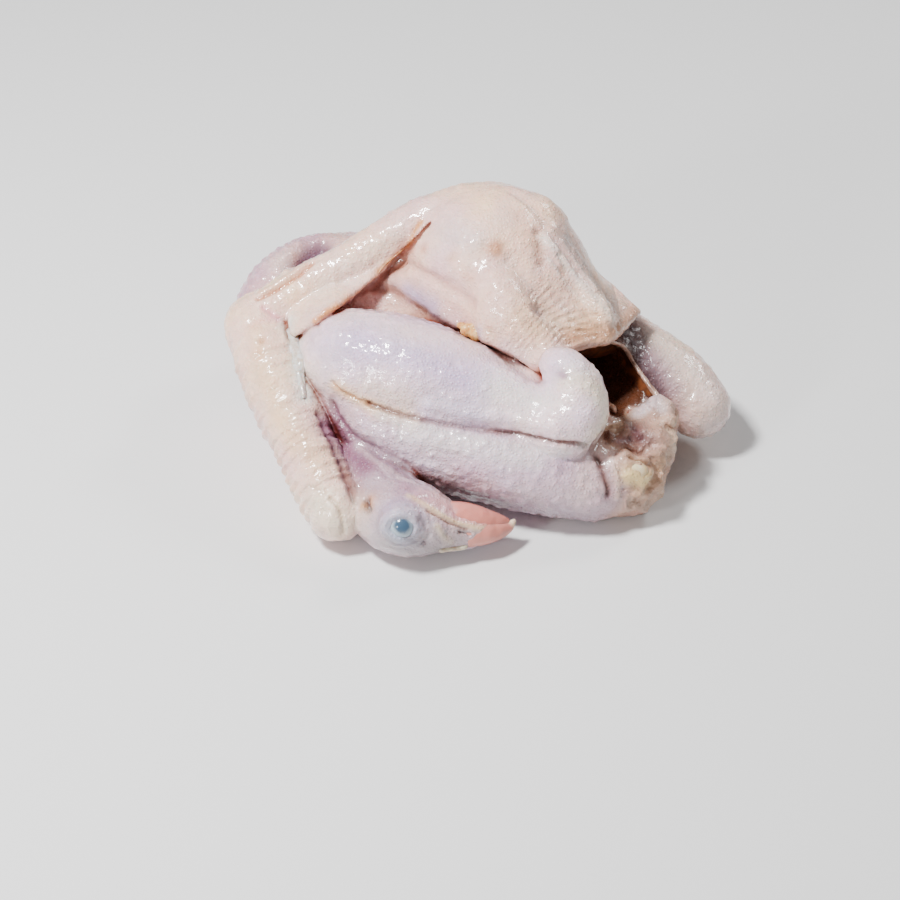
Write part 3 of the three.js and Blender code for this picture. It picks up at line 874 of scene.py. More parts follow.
@dataclass
class Tail(BodyPart):
    """The tail: a fleshy root and crumpled lobes at the rim of the opening."""

    name: str = "tail"
    tone: str = "b8a08f"
    pimple_height: float = 0.3
    pimple_spacing: float = 3.6
    root: Sequence[Station] = ((40, -65, 16, 15.5), (51, -70, 13, 13), (58, -70, 13, 11.5))
    lobe: Place = (63, -57, 20)
    lip: Place = (67, -48, 25)
    lower_lobe: Place = (56, -75, 24)
    inner_lobe: Place = (54, -62, 26)
    rim: Sequence[Station] = ((60, -50, 29, 2.4), (66, -46, 32, 2.8), (71, -49, 33, 2.4), (72, -54, 31, 2))
    crumple: float = 2.2
    folds: Sequence[Place] = ((1.5, 6.5, 54), (0.65, 2.8, 55))  # the height, size and seed of each layer
    marks: Sequence[Mark] = (
        # Hollows below the opening, dark with painted shade, then the pale rim, and the furrows, painted dark
        # as shade
        Mark([(58, -57, 31), (59, -62, 31), (61, -65, 31)], 5.0, "4e343c", 0.9, 2.4),
        Mark([(51, -62, 28), (56, -66, 29)], 5.0, "6b4a40", 0.85, 1.0),
        Mark([(60, -50, 31), (66, -47, 34), (71, -51, 33)], 2.6, "e0cfcf", 0.9, -0.8),
        Mark([(56, -64, 29), (52, -66, 30)], 2.2, "8c7478", 0.6, 1.2),
        Mark([(43, -72, 39), (45, -77, 33), (46, -81, 26), (48, -85, 20)], 2.2, "5d3d36", 0.85, 1.8),
        Mark([(49, -76, 32), (51, -81, 25), (52, -85, 18)], 1.8, "dcc3b8", 0.7, -0.9),
        Mark([(56, -79, 25), (60, -79, 23)], 4.6, "e4cfa4", 0.85, -0.6),
        Mark([(56, -76, 30), (62, -76, 27), (67, -74, 26)], 1.1, "7a5a46", 0.8, 1.2),
        Mark([(62, -46, 31), (68, -46, 33)], 4.5, "dccbcd", 0.85),
        Mark([(72, -55, 29), (73, -62, 24)], 5, "cbb8a6", 0.6),
        # Painted shade low on the tail, near the floor
        Mark([(60, -84, 10), (68, -74, 10)], 7, "a89489", 0.6),
        Mark([(50, -58, 30), (54, -54, 27)], 5, "c9b29e", 0.6),
    )

    def shape(self) -> Shape:
        """Give the part's form."""
        return Blended(
            (Tube(self.root), 0),
            (Ellipsoid(self.lobe, (13, 12, 13), yaw=-60), 6),
            (Ellipsoid(self.lip, (9, 6, 9), yaw=0), 4),
            (Ellipsoid(self.lower_lobe, (7.5, 5.5, 6.5), yaw=-20), 4),
            (Ellipsoid(self.inner_lobe, (8, 7, 7), yaw=30), 4),
            (Tube(self.rim), 2.5),
        )

    def relief(self, p: Array) -> Array:
        """Give how far the skin stands proud: crumpled folds, sharp in their furrows."""
        bent = p + self.crumple * Noise.shifts(p, 6, 51)
        return sum(height * Noise.creased(bent, size, 1, seed) for height, size, seed in self.folds)


@dataclass
class NearWing(BodyPart):
    """The near wing: the upper wing with its web of skin, then the forearm down to its folded end."""

    name: str = "near_wing"
    tone: str = "eed7cb"
    pimple_height: float = 0.45
    pimple_spacing: float = 3.3
    upper: Sequence[Station] = (
        (-6, 14, 83, 10), (-24, 12, 78, 9.5), (-40, 8, 70, 9), (-56, 2, 62, 9), (-72, -3, 54, 10.5),
        (-87, -11, 45, 12),
    )
    forearm: Sequence[Station] = (
        (-90.5, -12, 44, 12), (-84, -27, 40, 13), (-76, -46, 32, 13), (-67, -64, 23, 11.5),
        (-60, -78, 16, 11.5), (-55.5, -87, 13, 11),
    )
    web: Sequence[Sequence[Place]] = (
        ((-14, 14, 80), (-28, 12, 76), (-44, 6, 67), (-60, -1, 58), (-76, -8, 49)),
        ((-20, 7, 80), (-29, 3.5, 74.5), (-40, -2, 66), (-54, -11, 56.5), (-69, -21, 50)),
    )
    lap: Sequence[Sequence[Place]] = (
        ((-41, 2, 67), (-50, -2, 64), (-60, -6, 61), (-68, -10, 58), (-76, -14, 54)),
        ((-42, -4.5, 65), (-49.5, -11, 62), (-56.5, -24, 64), (-64, -30, 61), (-73, -27, 53)),
    )
    outward: Place = (-0.9, 0.35, 0.1)
    follicle_gap: float = 4.3
    follicle_height: float = 0.9
    wrinkle_height: float = 1.05
    marks: Sequence[Mark] = (
        Mark(
            [(-22, 6, 81), (-30, 2, 74), (-41, -4, 66), (-49, -11, 62), (-57, -25, 64), (-65, -31, 61)],
            1.5, "c58a5e", 0.85,
        ),
        # Painted shadow in the hollow between the upper wing and the neck
        Mark([(-73, 14, 57), (-69, 18, 59), (-66, 20, 60)], 5.5, "6a525f", 0.95, 3.0),
        Mark([(-88, -12, 57), (-80, -9, 61), (-72, -5, 64), (-67, -1, 67)], 1.2, "a8684a", 0.85, 1.2),
        Mark([(-87, -9, 59), (-79, -6, 62), (-70, -1, 66)], 2.0, "dcb8a4", 0.6, -1.0),
        Mark([(-86, -16, 56), (-80, -20, 54)], 1.6, "d99aa4", 0.6, 0.5),
        # Feather holes at the elbow
        Mark([(-86, -31.5, 52.5)], 1.7, "8a4f3c", 0.9, 2.0),
        Mark([(-87, -36.5, 50)], 2.0, "c79482", 0.7, 0.9),
        Mark([(-76, -22, 53), (-72, -32, 49), (-71, -42, 45), (-68, -52, 40)], 4.6, "dfe1dd", 0.8, 0, 0.6),
        # Dark painted shade in the groove between the forearm and the head
        Mark([(-64, -58, 36), (-57, -69, 29), (-52, -82, 24), (-50, -90, 20)], 2.0, "4a2a22", 0.9, 1.2),
        Mark([(-90, -24, 54), (-80, -20, 56)], 2.4, "dba9b0", 0.45),
        Mark([(-48, 2, 71)], 1.4, "cf8f9c", 0.6),
        Mark([(-64, -12, 62), (-46, -2, 71), (-34, 3, 78)], 6, "e4d2c8", 0.6),
        Mark([(-84, -44, 44), (-76, -62, 36)], 8, "e4cfbf", 0.6),
        Mark([(-62, -92, 20), (-54, -96, 16)], 11, "e8dccb", 0.8),
        Mark([(-58, -91, 24), (-54, -95, 20), (-53, -98, 12)], 0.9, "a98f76", 0.5, 0.8),
        Mark([(-66, -86, 25), (-60, -90, 26)], 0.8, "b79f88", 0.5, 0.6),
        Mark([(-80, 4, 63), (-60, 12, 70)], 6, "cfc2c8", 0.5),
        Mark([(-88, -24, 50), (-82, -50, 44), (-72, -72, 31)], 5, "e8c8a8", 0.55),
        Mark([(-70, -66, 33), (-62, -82, 27)], 4, "dcbfa6", 0.5),
        Mark([(-30, 10, 82), (-50, 4, 73)], 5, "e0c2bd", 0.5),
    )

    def shape(self) -> Shape:
        """Give the part's form."""
        return Blended(
            (Tube(self.upper), 0),
            (Sheet(self.web, 2.6), 4),
            (Sheet(self.lap, 2.4), 1.5),
            (Tube(self.forearm), 8),
        )

    def relief(self, p: Array) -> Array:
        """Give how far the skin stands proud: cross wrinkles on the forearm, and a row of feather sockets.

        Args:
            p: places on the skin.

        Returns:
            The heights, in millimetres.
        """
        limb = Tube(self.forearm)
        run = limb.along(p)
        lower = smooth_step(6, 22, run)
        across = p @ np.array(self.outward)
        rim = np.interp(run, limb.runs, limb.rows[:, :3] @ np.array(self.outward) + limb.rows[:, 3])
        rings = np.stack([run, across, p[:, 2] * 0.5], axis=1)
        wrinkles = self.wrinkle_height * Noise.creased(rings, (2.9, 11, 14), 2, 61)
        sockets = np.exp(-((across - rim) / 5.5) ** 2) * np.cos(2 * math.pi * run / self.follicle_gap)
        upper = 0.3 * Noise.layered(p, (9, 4, 4), 2, 63)
        return lower * (wrinkles + self.follicle_height * sockets) + (1 - lower) * upper


@dataclass
class FarWing(BodyPart):
    """The far wing, folded along the back's far side."""

    name: str = "far_wing"
    tone: str = "dccdc8"
    upper: Sequence[Station] = ((-22, 34, 46, 12), (-42, 42, 34, 12), (-60, 46, 24, 12))
    forearm: Sequence[Station] = ((-62, 44, 20, 12), (-42, 49, 18, 12), (-19, 48, 16, 12), (-2, 45, 14, 11))

    def shape(self) -> Shape:
        """Give the part's form."""
        return Blended((Tube(self.upper), 0), (Tube(self.forearm), 8))

    def relief(self, p: Array) -> Array:
        """Give how far the skin stands proud: cross wrinkles, as on the near wing."""
        return 0.4 * Noise.creased(Tube(self.forearm).rings(p), (3.2, 12, 12), 2, 71)


@dataclass
class Neck(BodyPart):
    """The neck, from the crop round the wing's elbow and back along the near side."""

    name: str = "neck"
    tone: str = "c5acb0"
    pimple_height: float = 0.7
    pimple_spacing: float = 3.0
    line: Sequence[Station] = (
        (-50, 24, 44, 17), (-71, 23, 45, 15), (-86, 11, 38, 13.5), (-88, -6, 24, 11), (-76, -26, 14, 11),
        (-64, -40, 13, 11), (-53, -52, 13, 11),
    )
    marks: Sequence[Mark] = (
        # Painted shadow in the hollow between the neck and the upper wing
        Mark([(-73, 14, 57), (-69, 18, 59), (-66, 20, 60)], 5.5, "5c4450", 0.95, 3.0),
        Mark([(-80, 16, 56)], 8, "dac8c1", 0.7),
        Mark([(-76, 18, 60), (-76, 8, 60), (-78, 1, 62)], 2.0, "d9b5a6", 0.6, -1.0),
    )

    def shape(self) -> Shape:
        """Give the part's form."""
        return Tube(self.line)

    def relief(self, p: Array) -> Array:
        """Give how far the skin stands proud: slack rings of skin round the neck."""
        return 0.5 * Noise.layered(Tube(self.line).rings(p), (6, 15, 15), 2, 81)


@dataclass
class Head(BodyPart):
    """The head on its side: nape, skull and the skin at the root of the beak."""

    name: str = "head"
    tone: str = "bfb0b6"
    pimple_height: float = 0.36
    pimple_spacing: float = 2.6
    nape: Sequence[Station] = ((-56, -46, 13, 10), (-47, -62, 14, 12), (-38, -76, 14, 13))
    skull: Place = (-30, -91, 13.5)
    beak: Sequence[Station] = (
        (-22, -93, 12, 10), (-10, -94.5, 10.5, 8), (1, -93, 9.5, 5.2), (8.5, -91, 9, 2.0),
    )
    eyelids: Place = (-31, -101, 20)
    eye: Place = (-30.5, -106.6, 22.6)
    eye_stretch: Place = (0.86, 1, 1.12)
    socket_radius: float = 4.4
    socket_depth: float = 1.6
    lid_rings: Sequence[Place] = ((5.0, 0.9, 1.1), (7.0, 0.8, 0.8), (9.2, 1.0, 0.8))
    cheek: Place = (-30, -90, 27)
    marks: Sequence[Mark] = (
        Mark([(-31, -104, 21)], 10, "adb6c2", 0.9),
        Mark([(-8, -95, 18), (3, -94, 14)], 4.2, "d98f88", 0.8),
        Mark([(-36, -99, 26), (-28, -96, 27)], 4.5, "a493a8", 0.6),
        # The ear: a raised tan ring round a dark hole
        Mark([(-43, -93.5, 21.5)], 3.9, "d09454", 0.95, -0.9),
        Mark([(-44, -92, 22.6), (-42.2, -95.2, 20.4)], 1.8, "2d100b", 1.0, 3.2, 0.1),
        Mark([(-42, -95, 18), (-40, -97, 14)], 4, "cbbdb9", 0.6),
        # The nostril and the ridge over it
        Mark([(-9, -101, 15), (-5, -101, 14)], 0.9, "5a3630", 0.9, 1.5),
        Mark([(-11, -101, 16), (-7, -102, 16), (-2, -100, 14)], 2.4, "c0b3b4", 0.6, -0.5),
        Mark(
            [(-28, -94, 27.5), (-21, -97.5, 25), (-14, -99, 20), (-6, -99, 16.3), (2, -97, 13)],
            1.5, "e6d3b2", 0.8, -0.5,
        ),
        Mark([(-21, -99, 24), (-14, -100, 19), (-6, -100, 15.5)], 0.7, "7d5a50", 0.8, 1.0),
        Mark([(-16, -90, 23), (-6, -91, 19)], 5, "dcb9b8", 0.7),
        Mark([(-59, -60, 31), (-53, -64, 25), (-47, -72, 27), (-39, -79, 27)], 9, "8c6a7a", 1.0),
        Mark([(-24, -93, 26), (-14, -95, 21.5), (-5, -95, 17), (3, -94, 14)], 4.2, "cf9c9c", 0.55),
        Mark([(-47, -70, 26), (-39, -80, 26), (-30, -87, 26)], 8, "7d5c6c", 0.8),
        Mark([(-30, -90, 27), (-20, -93, 24)], 5, "a5868f", 0.3),
        Mark([(-52, -78, 24), (-50, -86, 22)], 3, "8e6a64", 0.7),
        Mark([(-38, -108, 14), (-22, -109, 9), (-12, -106, 8)], 6, "7f7778", 0.7),
        Mark([(-27, -109, 18), (-22, -106, 14)], 3, "868088", 0.6, 0.6),
        Mark([(-40, -104, 15), (-36, -108, 12)], 4, "b9aeae", 0.5, -0.5),
        Mark([(-23, -104, 25), (-20, -106, 20), (-22, -107, 15)], 1.3, "8d8085", 0.6, 0.8),
        Mark([(-38, -101, 25), (-40, -103, 20), (-38, -106, 16)], 1.3, "99898f", 0.6, 0.7),
        Mark([(-18, -102, 19), (-15, -104, 15), (-12, -104, 12)], 1.6, "d9c9ae", 0.6, -0.6),
        Mark([(-48, -64, 26), (-38, -77, 27), (-26, -86, 26)], 2.2, "c9b7b9", 0.5, -0.7),
        Mark([(-42, -83, 25), (-36, -86, 26)], 5, "cdbfc4", 0.5),
        Mark([(-20, -104, 15), (-10, -104, 10)], 5, "a99c9f", 0.6),
        Mark([(-30, -105, 11), (-16, -106, 8)], 4, "9d9496", 0.6),
        Mark([(-22, -101, 20), (-24, -103, 12)], 3, "b3a6aa", 0.5, 0.5),
    )

    def shape(self) -> Shape:
        """Give the part's form."""
        return Blended(
            (Tube(self.nape), 0),
            (Ellipsoid(self.skull, (20, 16, 13.5), yaw=-20), 6),
            (Tube(self.beak), 6),
            (Ellipsoid(self.eyelids, (8.5, 7, 7.5), yaw=-15), 3),
        )

    def relief(self, p: Array) -> Array:
        """Give how far the skin stands proud: rings of eyelid, and the fine crumples of the cheek.

        Args:
            p: places on the skin.

        Returns:
            The heights, in millimetres.
        """
        gap = np.linalg.norm((p - np.array(self.eye)) * np.array(self.eye_stretch), axis=1)
        out = -self.socket_depth * np.exp(-(gap / self.socket_radius) ** 4)
        for radius, width, height in self.lid_rings:
            out += height * np.exp(-((gap - radius) / width) ** 2)
        crumples = spot(p, self.cheek, 14) * Noise.layered(p, (3.4, 1.8, 1.8), 2, 91)
        return out + 0.75 * crumples + 0.35 * Noise.layered(p, 5, 2, 92)


@dataclass
class Cavity:
    """The body cavity, seen through its opening."""

    line: Sequence[Station] = ((72, -66, 44, 9), (59, -48, 40, 11.5), (43, -30, 38, 14.5), (22, -10, 37, 14))
    # The lining's dark red-brown is partly its own colour and partly painted shade deep in the cavity.
    tone: str = "55301f"
    rim: float = 1.4
    blend: float = 2.5

    def shape(self) -> Tube:
        """Give the hollow's form."""
        return Tube(self.line)


@dataclass
class Bird(Shape):
    """The whole bird: its parts joined, the cavity and the slit under the wing cut, the underside flat."""

    slit: Sequence[Station] = (
        (-20, 1, 84, 1.2), (-26, -1, 76.5, 2.0), (-33, 0, 67.5, 2.4), (-41, -1, 60, 2.2), (-48, -4, 56, 1.4),
    )
    slit_blend: float = 1.2
    probe: float = 0.3
    longest_step: float = 3.0

    def __post_init__(self) -> None:
        """Join the parts, then cut the cavity and the slit."""
        joined = (
            (Carcass(), 0), (Thigh(), 3.5), (Drumstick(), 2.5), (FarLeg(), 5), (Tail(), 3.5), (Neck(), 4),
            (NearWing(), 2.5), (FarWing(), 8), (Head(), 3),
        )
        self.parts: list[BodyPart] = [part for part, _ in joined]
        self.tail_number = [part.name for part in self.parts].index(Tail.name)
        self.cavity = Cavity()
        self.shapes = [part.shape() for part in self.parts]
        self.hollow = self.cavity.shape()
        self.whole = Blended(
            *[(shape, blend) for shape, (_, blend) in zip(self.shapes, joined)],
            (self.hollow, self.cavity.blend, Join.CUT),
            (Tube(self.slit), self.slit_blend, Join.CUT),
        )
        self.centre = self.whole.centre
        self.reach = self.whole.reach

    def distance(self, points: Array) -> Array:
        """Give the distance from each point to the surface, negative inside."""
        return -smooth_min(-self.whole.distance(points), points[:, 2], FLOOR_ROUNDING)

    def onto(self, points: Array) -> Array:
        """Move points onto the skin, in steps down the slope of the distance.

        Args:
            points: the points, near the skin.

        Returns:
            The moved points.
        """
        ways = np.array([[1, -1, -1], [-1, -1, 1], [-1, 1, -1], [1, 1, 1]], float)
        out = np.array(points, float)
        for _ in range(4):
            gaps = self.distance((out[:, None] + self.probe * ways).reshape(-1, 3)).reshape(-1, 4)
            slope = gaps @ ways
            slope /= np.maximum(np.linalg.norm(slope, axis=1, keepdims=True), SMALL)
            out -= np.clip(gaps.mean(axis=1), -self.longest_step, self.longest_step)[:, None] * slope
        return out

    def part_distances(self, points: Array) -> Array:
        """Give the distance from each point to each part, one column a part."""
        return np.stack([shape.distance(points) for shape in self.shapes], axis=1)


@dataclass
class Surface:
    """A closed mesh of four-sided faces."""

    points: Array
    quads: Array

    @classmethod
    def of(cls, shape: Shape, low: Place, high: Place, cell: float) -> "Surface":
        """Take the surface of a shape off a grid, one point to each cell that the surface crosses.

        Args:
            shape: what to take the surface of.
            low: the grid's lowest corner.
            high: the grid's highest corner.
            cell: the grid's spacing.

        Returns:
            The surface.
        """
        start = np.array(low, float)
        values = cls._sampled(shape, start, np.array(high, float), cell)
        inside = values < 0
        corners = [np.array(c) for c in np.ndindex(2, 2, 2)]
        size = np.array(values.shape) - 1

        def corner_values(grid: Array, c: Array) -> Array:
            """Give the grid's values at one corner of every cell."""
            return grid[c[0]:size[0] + c[0], c[1]:size[1] + c[1], c[2]:size[2] + c[2]]

        count = sum(corner_values(inside, c).astype(np.int8) for c in corners)
        crossed = (count > 0) & (count < 8)
        cells = np.argwhere(crossed)
        index = np.full(crossed.shape, -1, np.int64)
        index[crossed] = np.arange(len(cells))
        total = np.zeros((len(cells), 3))
        number = np.zeros(len(cells))
        for a in corners:
            for b in corners:
                if (b - a).sum() != 1 or (b < a).any():
                    continue
                da = values[tuple((cells + a).T)]
                db = values[tuple((cells + b).T)]
                cross = (da < 0) != (db < 0)
                t = np.where(cross, da / np.where(cross, da - db, 1), 0)
                total += np.where(cross[:, None], a + t[:, None] * (b - a), 0)
                number += cross
        points = start + (cells + total / number[:, None]) * cell
        return cls(points, cls._faces(inside, index))

    @staticmethod
    def _sampled(shape: Shape, low: Array, high: Array, cell: float, coarse: int = 4) -> Array:
        """Give the distances on a grid, exact near the surface and rough elsewhere.

        Args:
            shape: what the distances are to.
            low: the grid's lowest corner.
            high: the grid's highest corner.
            cell: the grid's spacing.
            coarse: how many cells lie between the rough values.

        Returns:
            The distances.
        """
        count = np.ceil((high - low) / (cell * coarse)).astype(int) + 1
        axes = [low[i] + np.arange(count[i]) * cell * coarse for i in range(3)]
        at = np.stack(np.meshgrid(*axes, indexing="ij"), axis=-1).reshape(-1, 3)
        rough = shape.distance(at).reshape(count)
        near = np.abs(rough) < cell * coarse * 1.9
        block = np.zeros(count - 1, bool)
        for i, j, k in np.ndindex(2, 2, 2):
            block |= near[i:count[0] - 1 + i, j:count[1] - 1 + j, k:count[2] - 1 + k]
        fine = (count - 1) * coarse + 1
        nearest = [np.minimum((np.arange(fine[i]) + coarse // 2) // coarse, count[i] - 1) for i in range(3)]
        values = rough[np.ix_(*nearest)]
        wanted = np.zeros(fine, bool)
        for offset in np.ndindex(coarse + 1, coarse + 1, coarse + 1):
            wanted[tuple((np.argwhere(block) * coarse + offset).T)] = True
        at = np.argwhere(wanted)
        batches = np.split(at, range(BATCH, len(at), BATCH))
        values[wanted] = np.concatenate([shape.distance(low + batch * cell) for batch in batches])
        return values

    @staticmethod
    def _faces(inside: Array, index: Array) -> Array:
        """Give a face to each grid edge that the surface crosses, joining the four cells round it.

        Args:
            inside: which of the grid's points are inside the shape.
            index: the number of each cell's point, -1 where it has none.

        Returns:
            Rows of four point numbers.
        """
        quads = []
        for axis in range(3):
            near = [slice(1, -1)] * 3
            far = [slice(1, -1)] * 3
            near[axis] = slice(0, -1)
            far[axis] = slice(1, None)
            one, two = (axis + 1) % 3, (axis + 2) % 3
            a = inside[tuple(near)]
            b = inside[tuple(far)]
            for outward, change in ((True, a & ~b), (False, ~a & b)):
                base = np.argwhere(change)
                base[:, one] += 1
                base[:, two] += 1
                ring = []
                for step_one, step_two in ((-1, -1), (0, -1), (0, 0), (-1, 0)):
                    cell = base.copy()
                    cell[:, one] += step_one
                    cell[:, two] += step_two
                    ring.append(index[tuple(cell.T)])
                quad = np.stack(ring, axis=1)
                quads.append(quad if outward else quad[:, ::-1])
        return np.concatenate(quads)

    def normals(self) -> Array:
        """Give the direction that the surface faces at each point.

        Returns:
            The directions, each one long.
        """
        p, q = self.points, self.quads
        face = np.cross(p[q[:, 2]] - p[q[:, 0]], p[q[:, 3]] - p[q[:, 1]])
        out = np.zeros_like(p)
        for i in range(4):
            for axis in range(3):
                out[:, axis] += np.bincount(q[:, i], face[:, axis], len(p))
        return out / np.maximum(np.linalg.norm(out, axis=1, keepdims=True), SMALL)

    def refined(self, shape: Shape) -> "Surface":
        """Part each face in four and move the points back onto the shape.

        Args:
            shape: what the surface was taken of.

        Returns:
            The finer surface.
        """
        furthest = 0.7
        p, q = self.points, self.quads
        sides = np.concatenate([np.stack([q[:, i], q[:, (i + 1) % 4]], axis=1) for i in range(4)])
        key = np.sort(sides, axis=1)
        edges, which = np.unique(key[:, 0] * len(p) + key[:, 1], return_inverse=True)
        ends = np.stack([edges // len(p), edges % len(p)], axis=1)
        middles = p[q].mean(axis=1)
        edge_points = p[ends].mean(axis=1)
        first = len(p)
        second = first + len(edges)
        which = which.reshape(4, len(q))
        centre = second + np.arange(len(q))
        fine = [
            np.stack([q[:, i], first + which[i], centre, first + which[i - 1]], axis=1) for i in range(4)
        ]
        out = Surface(np.concatenate([p, edge_points, middles]), np.concatenate(fine))
        out.relax(0.5)
        for _ in range(2):
            gap = np.clip(shape.distance(out.points), -furthest, furthest)
            out.points = out.points - out.normals() * gap[:, None]
        return out

    def relax(self, step: float) -> None:
        """Move each point towards the mean of its neighbours.

        Args:
            step: the share of the way that it moves.
        """
        p, q = self.points, self.quads
        total = np.zeros_like(p)
        number = np.zeros(len(p))
        for i in range(4):
            for other in (q[:, (i + 1) % 4], q[:, i - 1]):
                number += np.bincount(q[:, i], minlength=len(p))
                for axis in range(3):
                    total[:, axis] += np.bincount(q[:, i], p[other, axis], len(p))
        self.points = p + step * (total / np.maximum(number, 1)[:, None] - p)


@dataclass
class Dressed:
    """The bird's skin with its relief and colours.

    Attributes:
        surface: the mesh, in millimetres.
        normals: which way it faces at each point.
        tones: the linear colour of each point, with painted shade in its folds, grooves and hollows.
        wet: how wet each point is, 0 to 1.
        owner: which part each face belongs to; one past the last part is the cavity.
    """

    surface: Surface
    normals: Array
    tones: Array
    wet: Array
    owner: Array


@dataclass
class SkinMaker:
    """Grows the bird's skin and dresses it.

    Attributes:
        bird: the bird.
        low: the lowest corner of the grid that the skin is taken from.
        high: its highest corner.
        cell: the grid's spacing.
        offset: how far the grid is moved, in cells, so that none of its points lies in the flat underside.
        lilac: what the skin's colour is multiplied by in its cold patches.
        warm: what it is multiplied by in its creamy patches.
        vivid: how far its colours are drawn from grey, to make up for the muted view of the render.
        near_lift: how far over the skin it is felt whether a narrow fold is shut.
        far_lift: how far over it that is felt for a wide one.
        seam: how far the skin of one part runs into the next, in millimetres.
        fold_shade: the colour of the painted shade that the skin takes deep in a fold.
        squashed: between these heights over the floor, the relief comes out, in millimetres.
        shut: between these shares of openness, the relief comes out of a fold.
        least: the share of the relief that stays in a shut fold.
        flat: points below this height are part of the flat underside, in millimetres.
        dark: between these brightnesses of the skin, the water film comes out.
        dry_tail: how much drier the tail is, 0 to 1.
        lining_height: how uneven the cavity's wall is, in millimetres.
    """

    bird: Bird
    low: Place = (-112, -116, -1.5)
    high: Place = (108, 78, 104)
    cell: float = 1.4
    quick_cell: float = 1.9
    offset: float = 0.37
    lilac: Place = (0.91, 0.84, 0.97)
    warm: Place = (1.05, 0.98, 0.87)
    vivid: float = 1.42
    near_lift: float = 1.6
    far_lift: float = 4.5
    seam: float = 1.6
    # Painted shade: deep folds are darkened and reddened towards this colour.
    fold_shade: str = "7a4a3c"
    squashed: tuple[float, float] = (0.2, 2.5)
    shut: tuple[float, float] = (0.15, 0.7)
    least: float = 0.35
    flat: float = 0.05
    dark: tuple[float, float] = (0.03, 0.22)
    dry_tail: float = 0.7
    lining_height: float = 0.7

    def grown(self) -> Dressed:
        """Grow the skin.

        Returns:
            The skin with its relief and colours.
        """
        bird = self.bird
        cell = self.cell
        low = tuple(v - self.offset * cell for v in self.low)
        surface = Surface.of(bird, low, self.high, cell).refined(bird)
        points = surface.points
        normals = surface.normals()
        felt = [bird.distance(points + normals * lift) / lift for lift in (self.near_lift, self.far_lift)]
        openness = np.clip(np.stack(felt, axis=1), 0, 1)
        gaps = bird.part_distances(points)
        shares = np.exp(-np.maximum(gaps - gaps.min(axis=1, keepdims=True), 0) / self.seam)
        shares /= shares.sum(axis=1, keepdims=True)
        tail = shares[:, bird.tail_number]
        hollow = smooth_step(bird.cavity.rim, 0.2, bird.hollow.distance(points))
        hollow *= 1 - 0.9 * smooth_step(0.3, 0.8, tail)
        tones, height = self._marked(points, *self._parts(points, shares))
        tones = self._shaded_in_folds(tones, openness)
        tones, height = self._lined(points, tones, height, hollow)
        free = self.least + (1 - self.least) * smooth_step(*self.shut, openness[:, 0])
        height *= smooth_step(*self.squashed, points[:, 2]) * free
        moved = points + normals * height[:, None]
        moved[:, 2] = np.where(points[:, 2] < self.flat, 0, np.maximum(moved[:, 2], 0))
        finished = Surface(moved, surface.quads)
        owner = gaps.argmin(axis=1)
        owner[hollow > 0.5] = len(bird.parts)
        # A face goes to the second lowest number among its corners, so that one stray corner seldom moves it.
        by_face = np.sort(owner[surface.quads], axis=1)[:, 1]
        wet = np.clip(0.5 + 0.5 * Noise.layered(points, 12, 3, 97), 0, 1) * (1 - self.dry_tail * tail)
        wet *= smooth_step(*self.dark, tones.mean(axis=1))
        return Dressed(finished, finished.normals(), tones, wet, by_face)

    def _parts(self, points: Array, shares: Array) -> tuple[Array, Array]:
        """Give the skin the colour, relief and goose pimples of its parts.

        Args:
            points: the skin's points.
            shares: how far each point belongs to each part.

        Returns:
            Each point's colour and how far it stands proud.
        """
        patch = np.clip(0.5 + 0.8 * Noise.layered(points, 15, 3, 96), 0, 1)[:, None]
        tones = sum(shares[:, [i]] * np.array(linear(part.tone)) for i, part in enumerate(self.bird.parts))
        tones = tones * (np.array(self.lilac) * patch + np.array(self.warm) * (1 - patch))
        height = np.zeros(len(points))
        for i, part in enumerate(self.bird.parts):
            mine = shares[:, i] > 0.02
            at = points[mine]
            bumps = Noise.pimples(at, part.pimple_spacing, part.pimple_radius, 3 + i)
            height[mine] += shares[mine, i] * (part.relief(at) + part.pimple_height * bumps)
            # Pimples are painted paler, partly their own cream colour and partly painted highlight.
            tones[mine] *= 0.965 + 0.11 * (shares[mine, i] * bumps)[:, None]
        return tones, height

    def _marked(self, points: Array, tones: Array, height: Array) -> tuple[Array, Array]:
        """Lay the parts' stains, grooves and ridges on the skin.

        Args:
            points: the skin's points.
            tones: their colours.
            height: how far they stand proud.

        Returns:
            The new colours and heights.
        """
        marks = [mark for part in self.bird.parts for mark in part.all_marks()]
        paths = [smooth_curve(mark.path, 3) for mark in marks]
        ends = np.cumsum([len(path) for path in paths])[:-1]
        for mark, rows in zip(marks, np.split(self.bird.onto(np.concatenate(paths)), ends)):
            share = mark.share(points, rows)
            height = height - mark.depth * share
            if mark.colour:
                lay = (mark.strength * share)[:, None]
                tones = tones * (1 - lay) + np.array(linear(mark.colour)) * lay
        return tones, height

    def _shaded_in_folds(self, tones: Array, openness: Array) -> Array:
        """Paint shade into the skin deep in its folds, darkening and reddening it, and draw its colours from
        grey.

        Args:
            tones: the points' colours.
            openness: how open the skin lies just over each point and further out, 0 to 1.

        Returns:
            The new colours.
        """
        # Painted shade: the more shut the skin over a point, the more its colour takes the shade colour.
        shut = smooth_step(0.8, 0.1, openness[:, 0]) * 0.8 + smooth_step(0.65, 0.05, openness[:, 1]) * 0.5
        shut = np.clip(shut, 0, 0.95)[:, None]
        tones = tones * (1 - shut) + tones * np.array(linear(self.fold_shade)) * 1.3 * shut
        grey = tones.mean(axis=1, keepdims=True)
        return grey + self.vivid * (tones - grey)

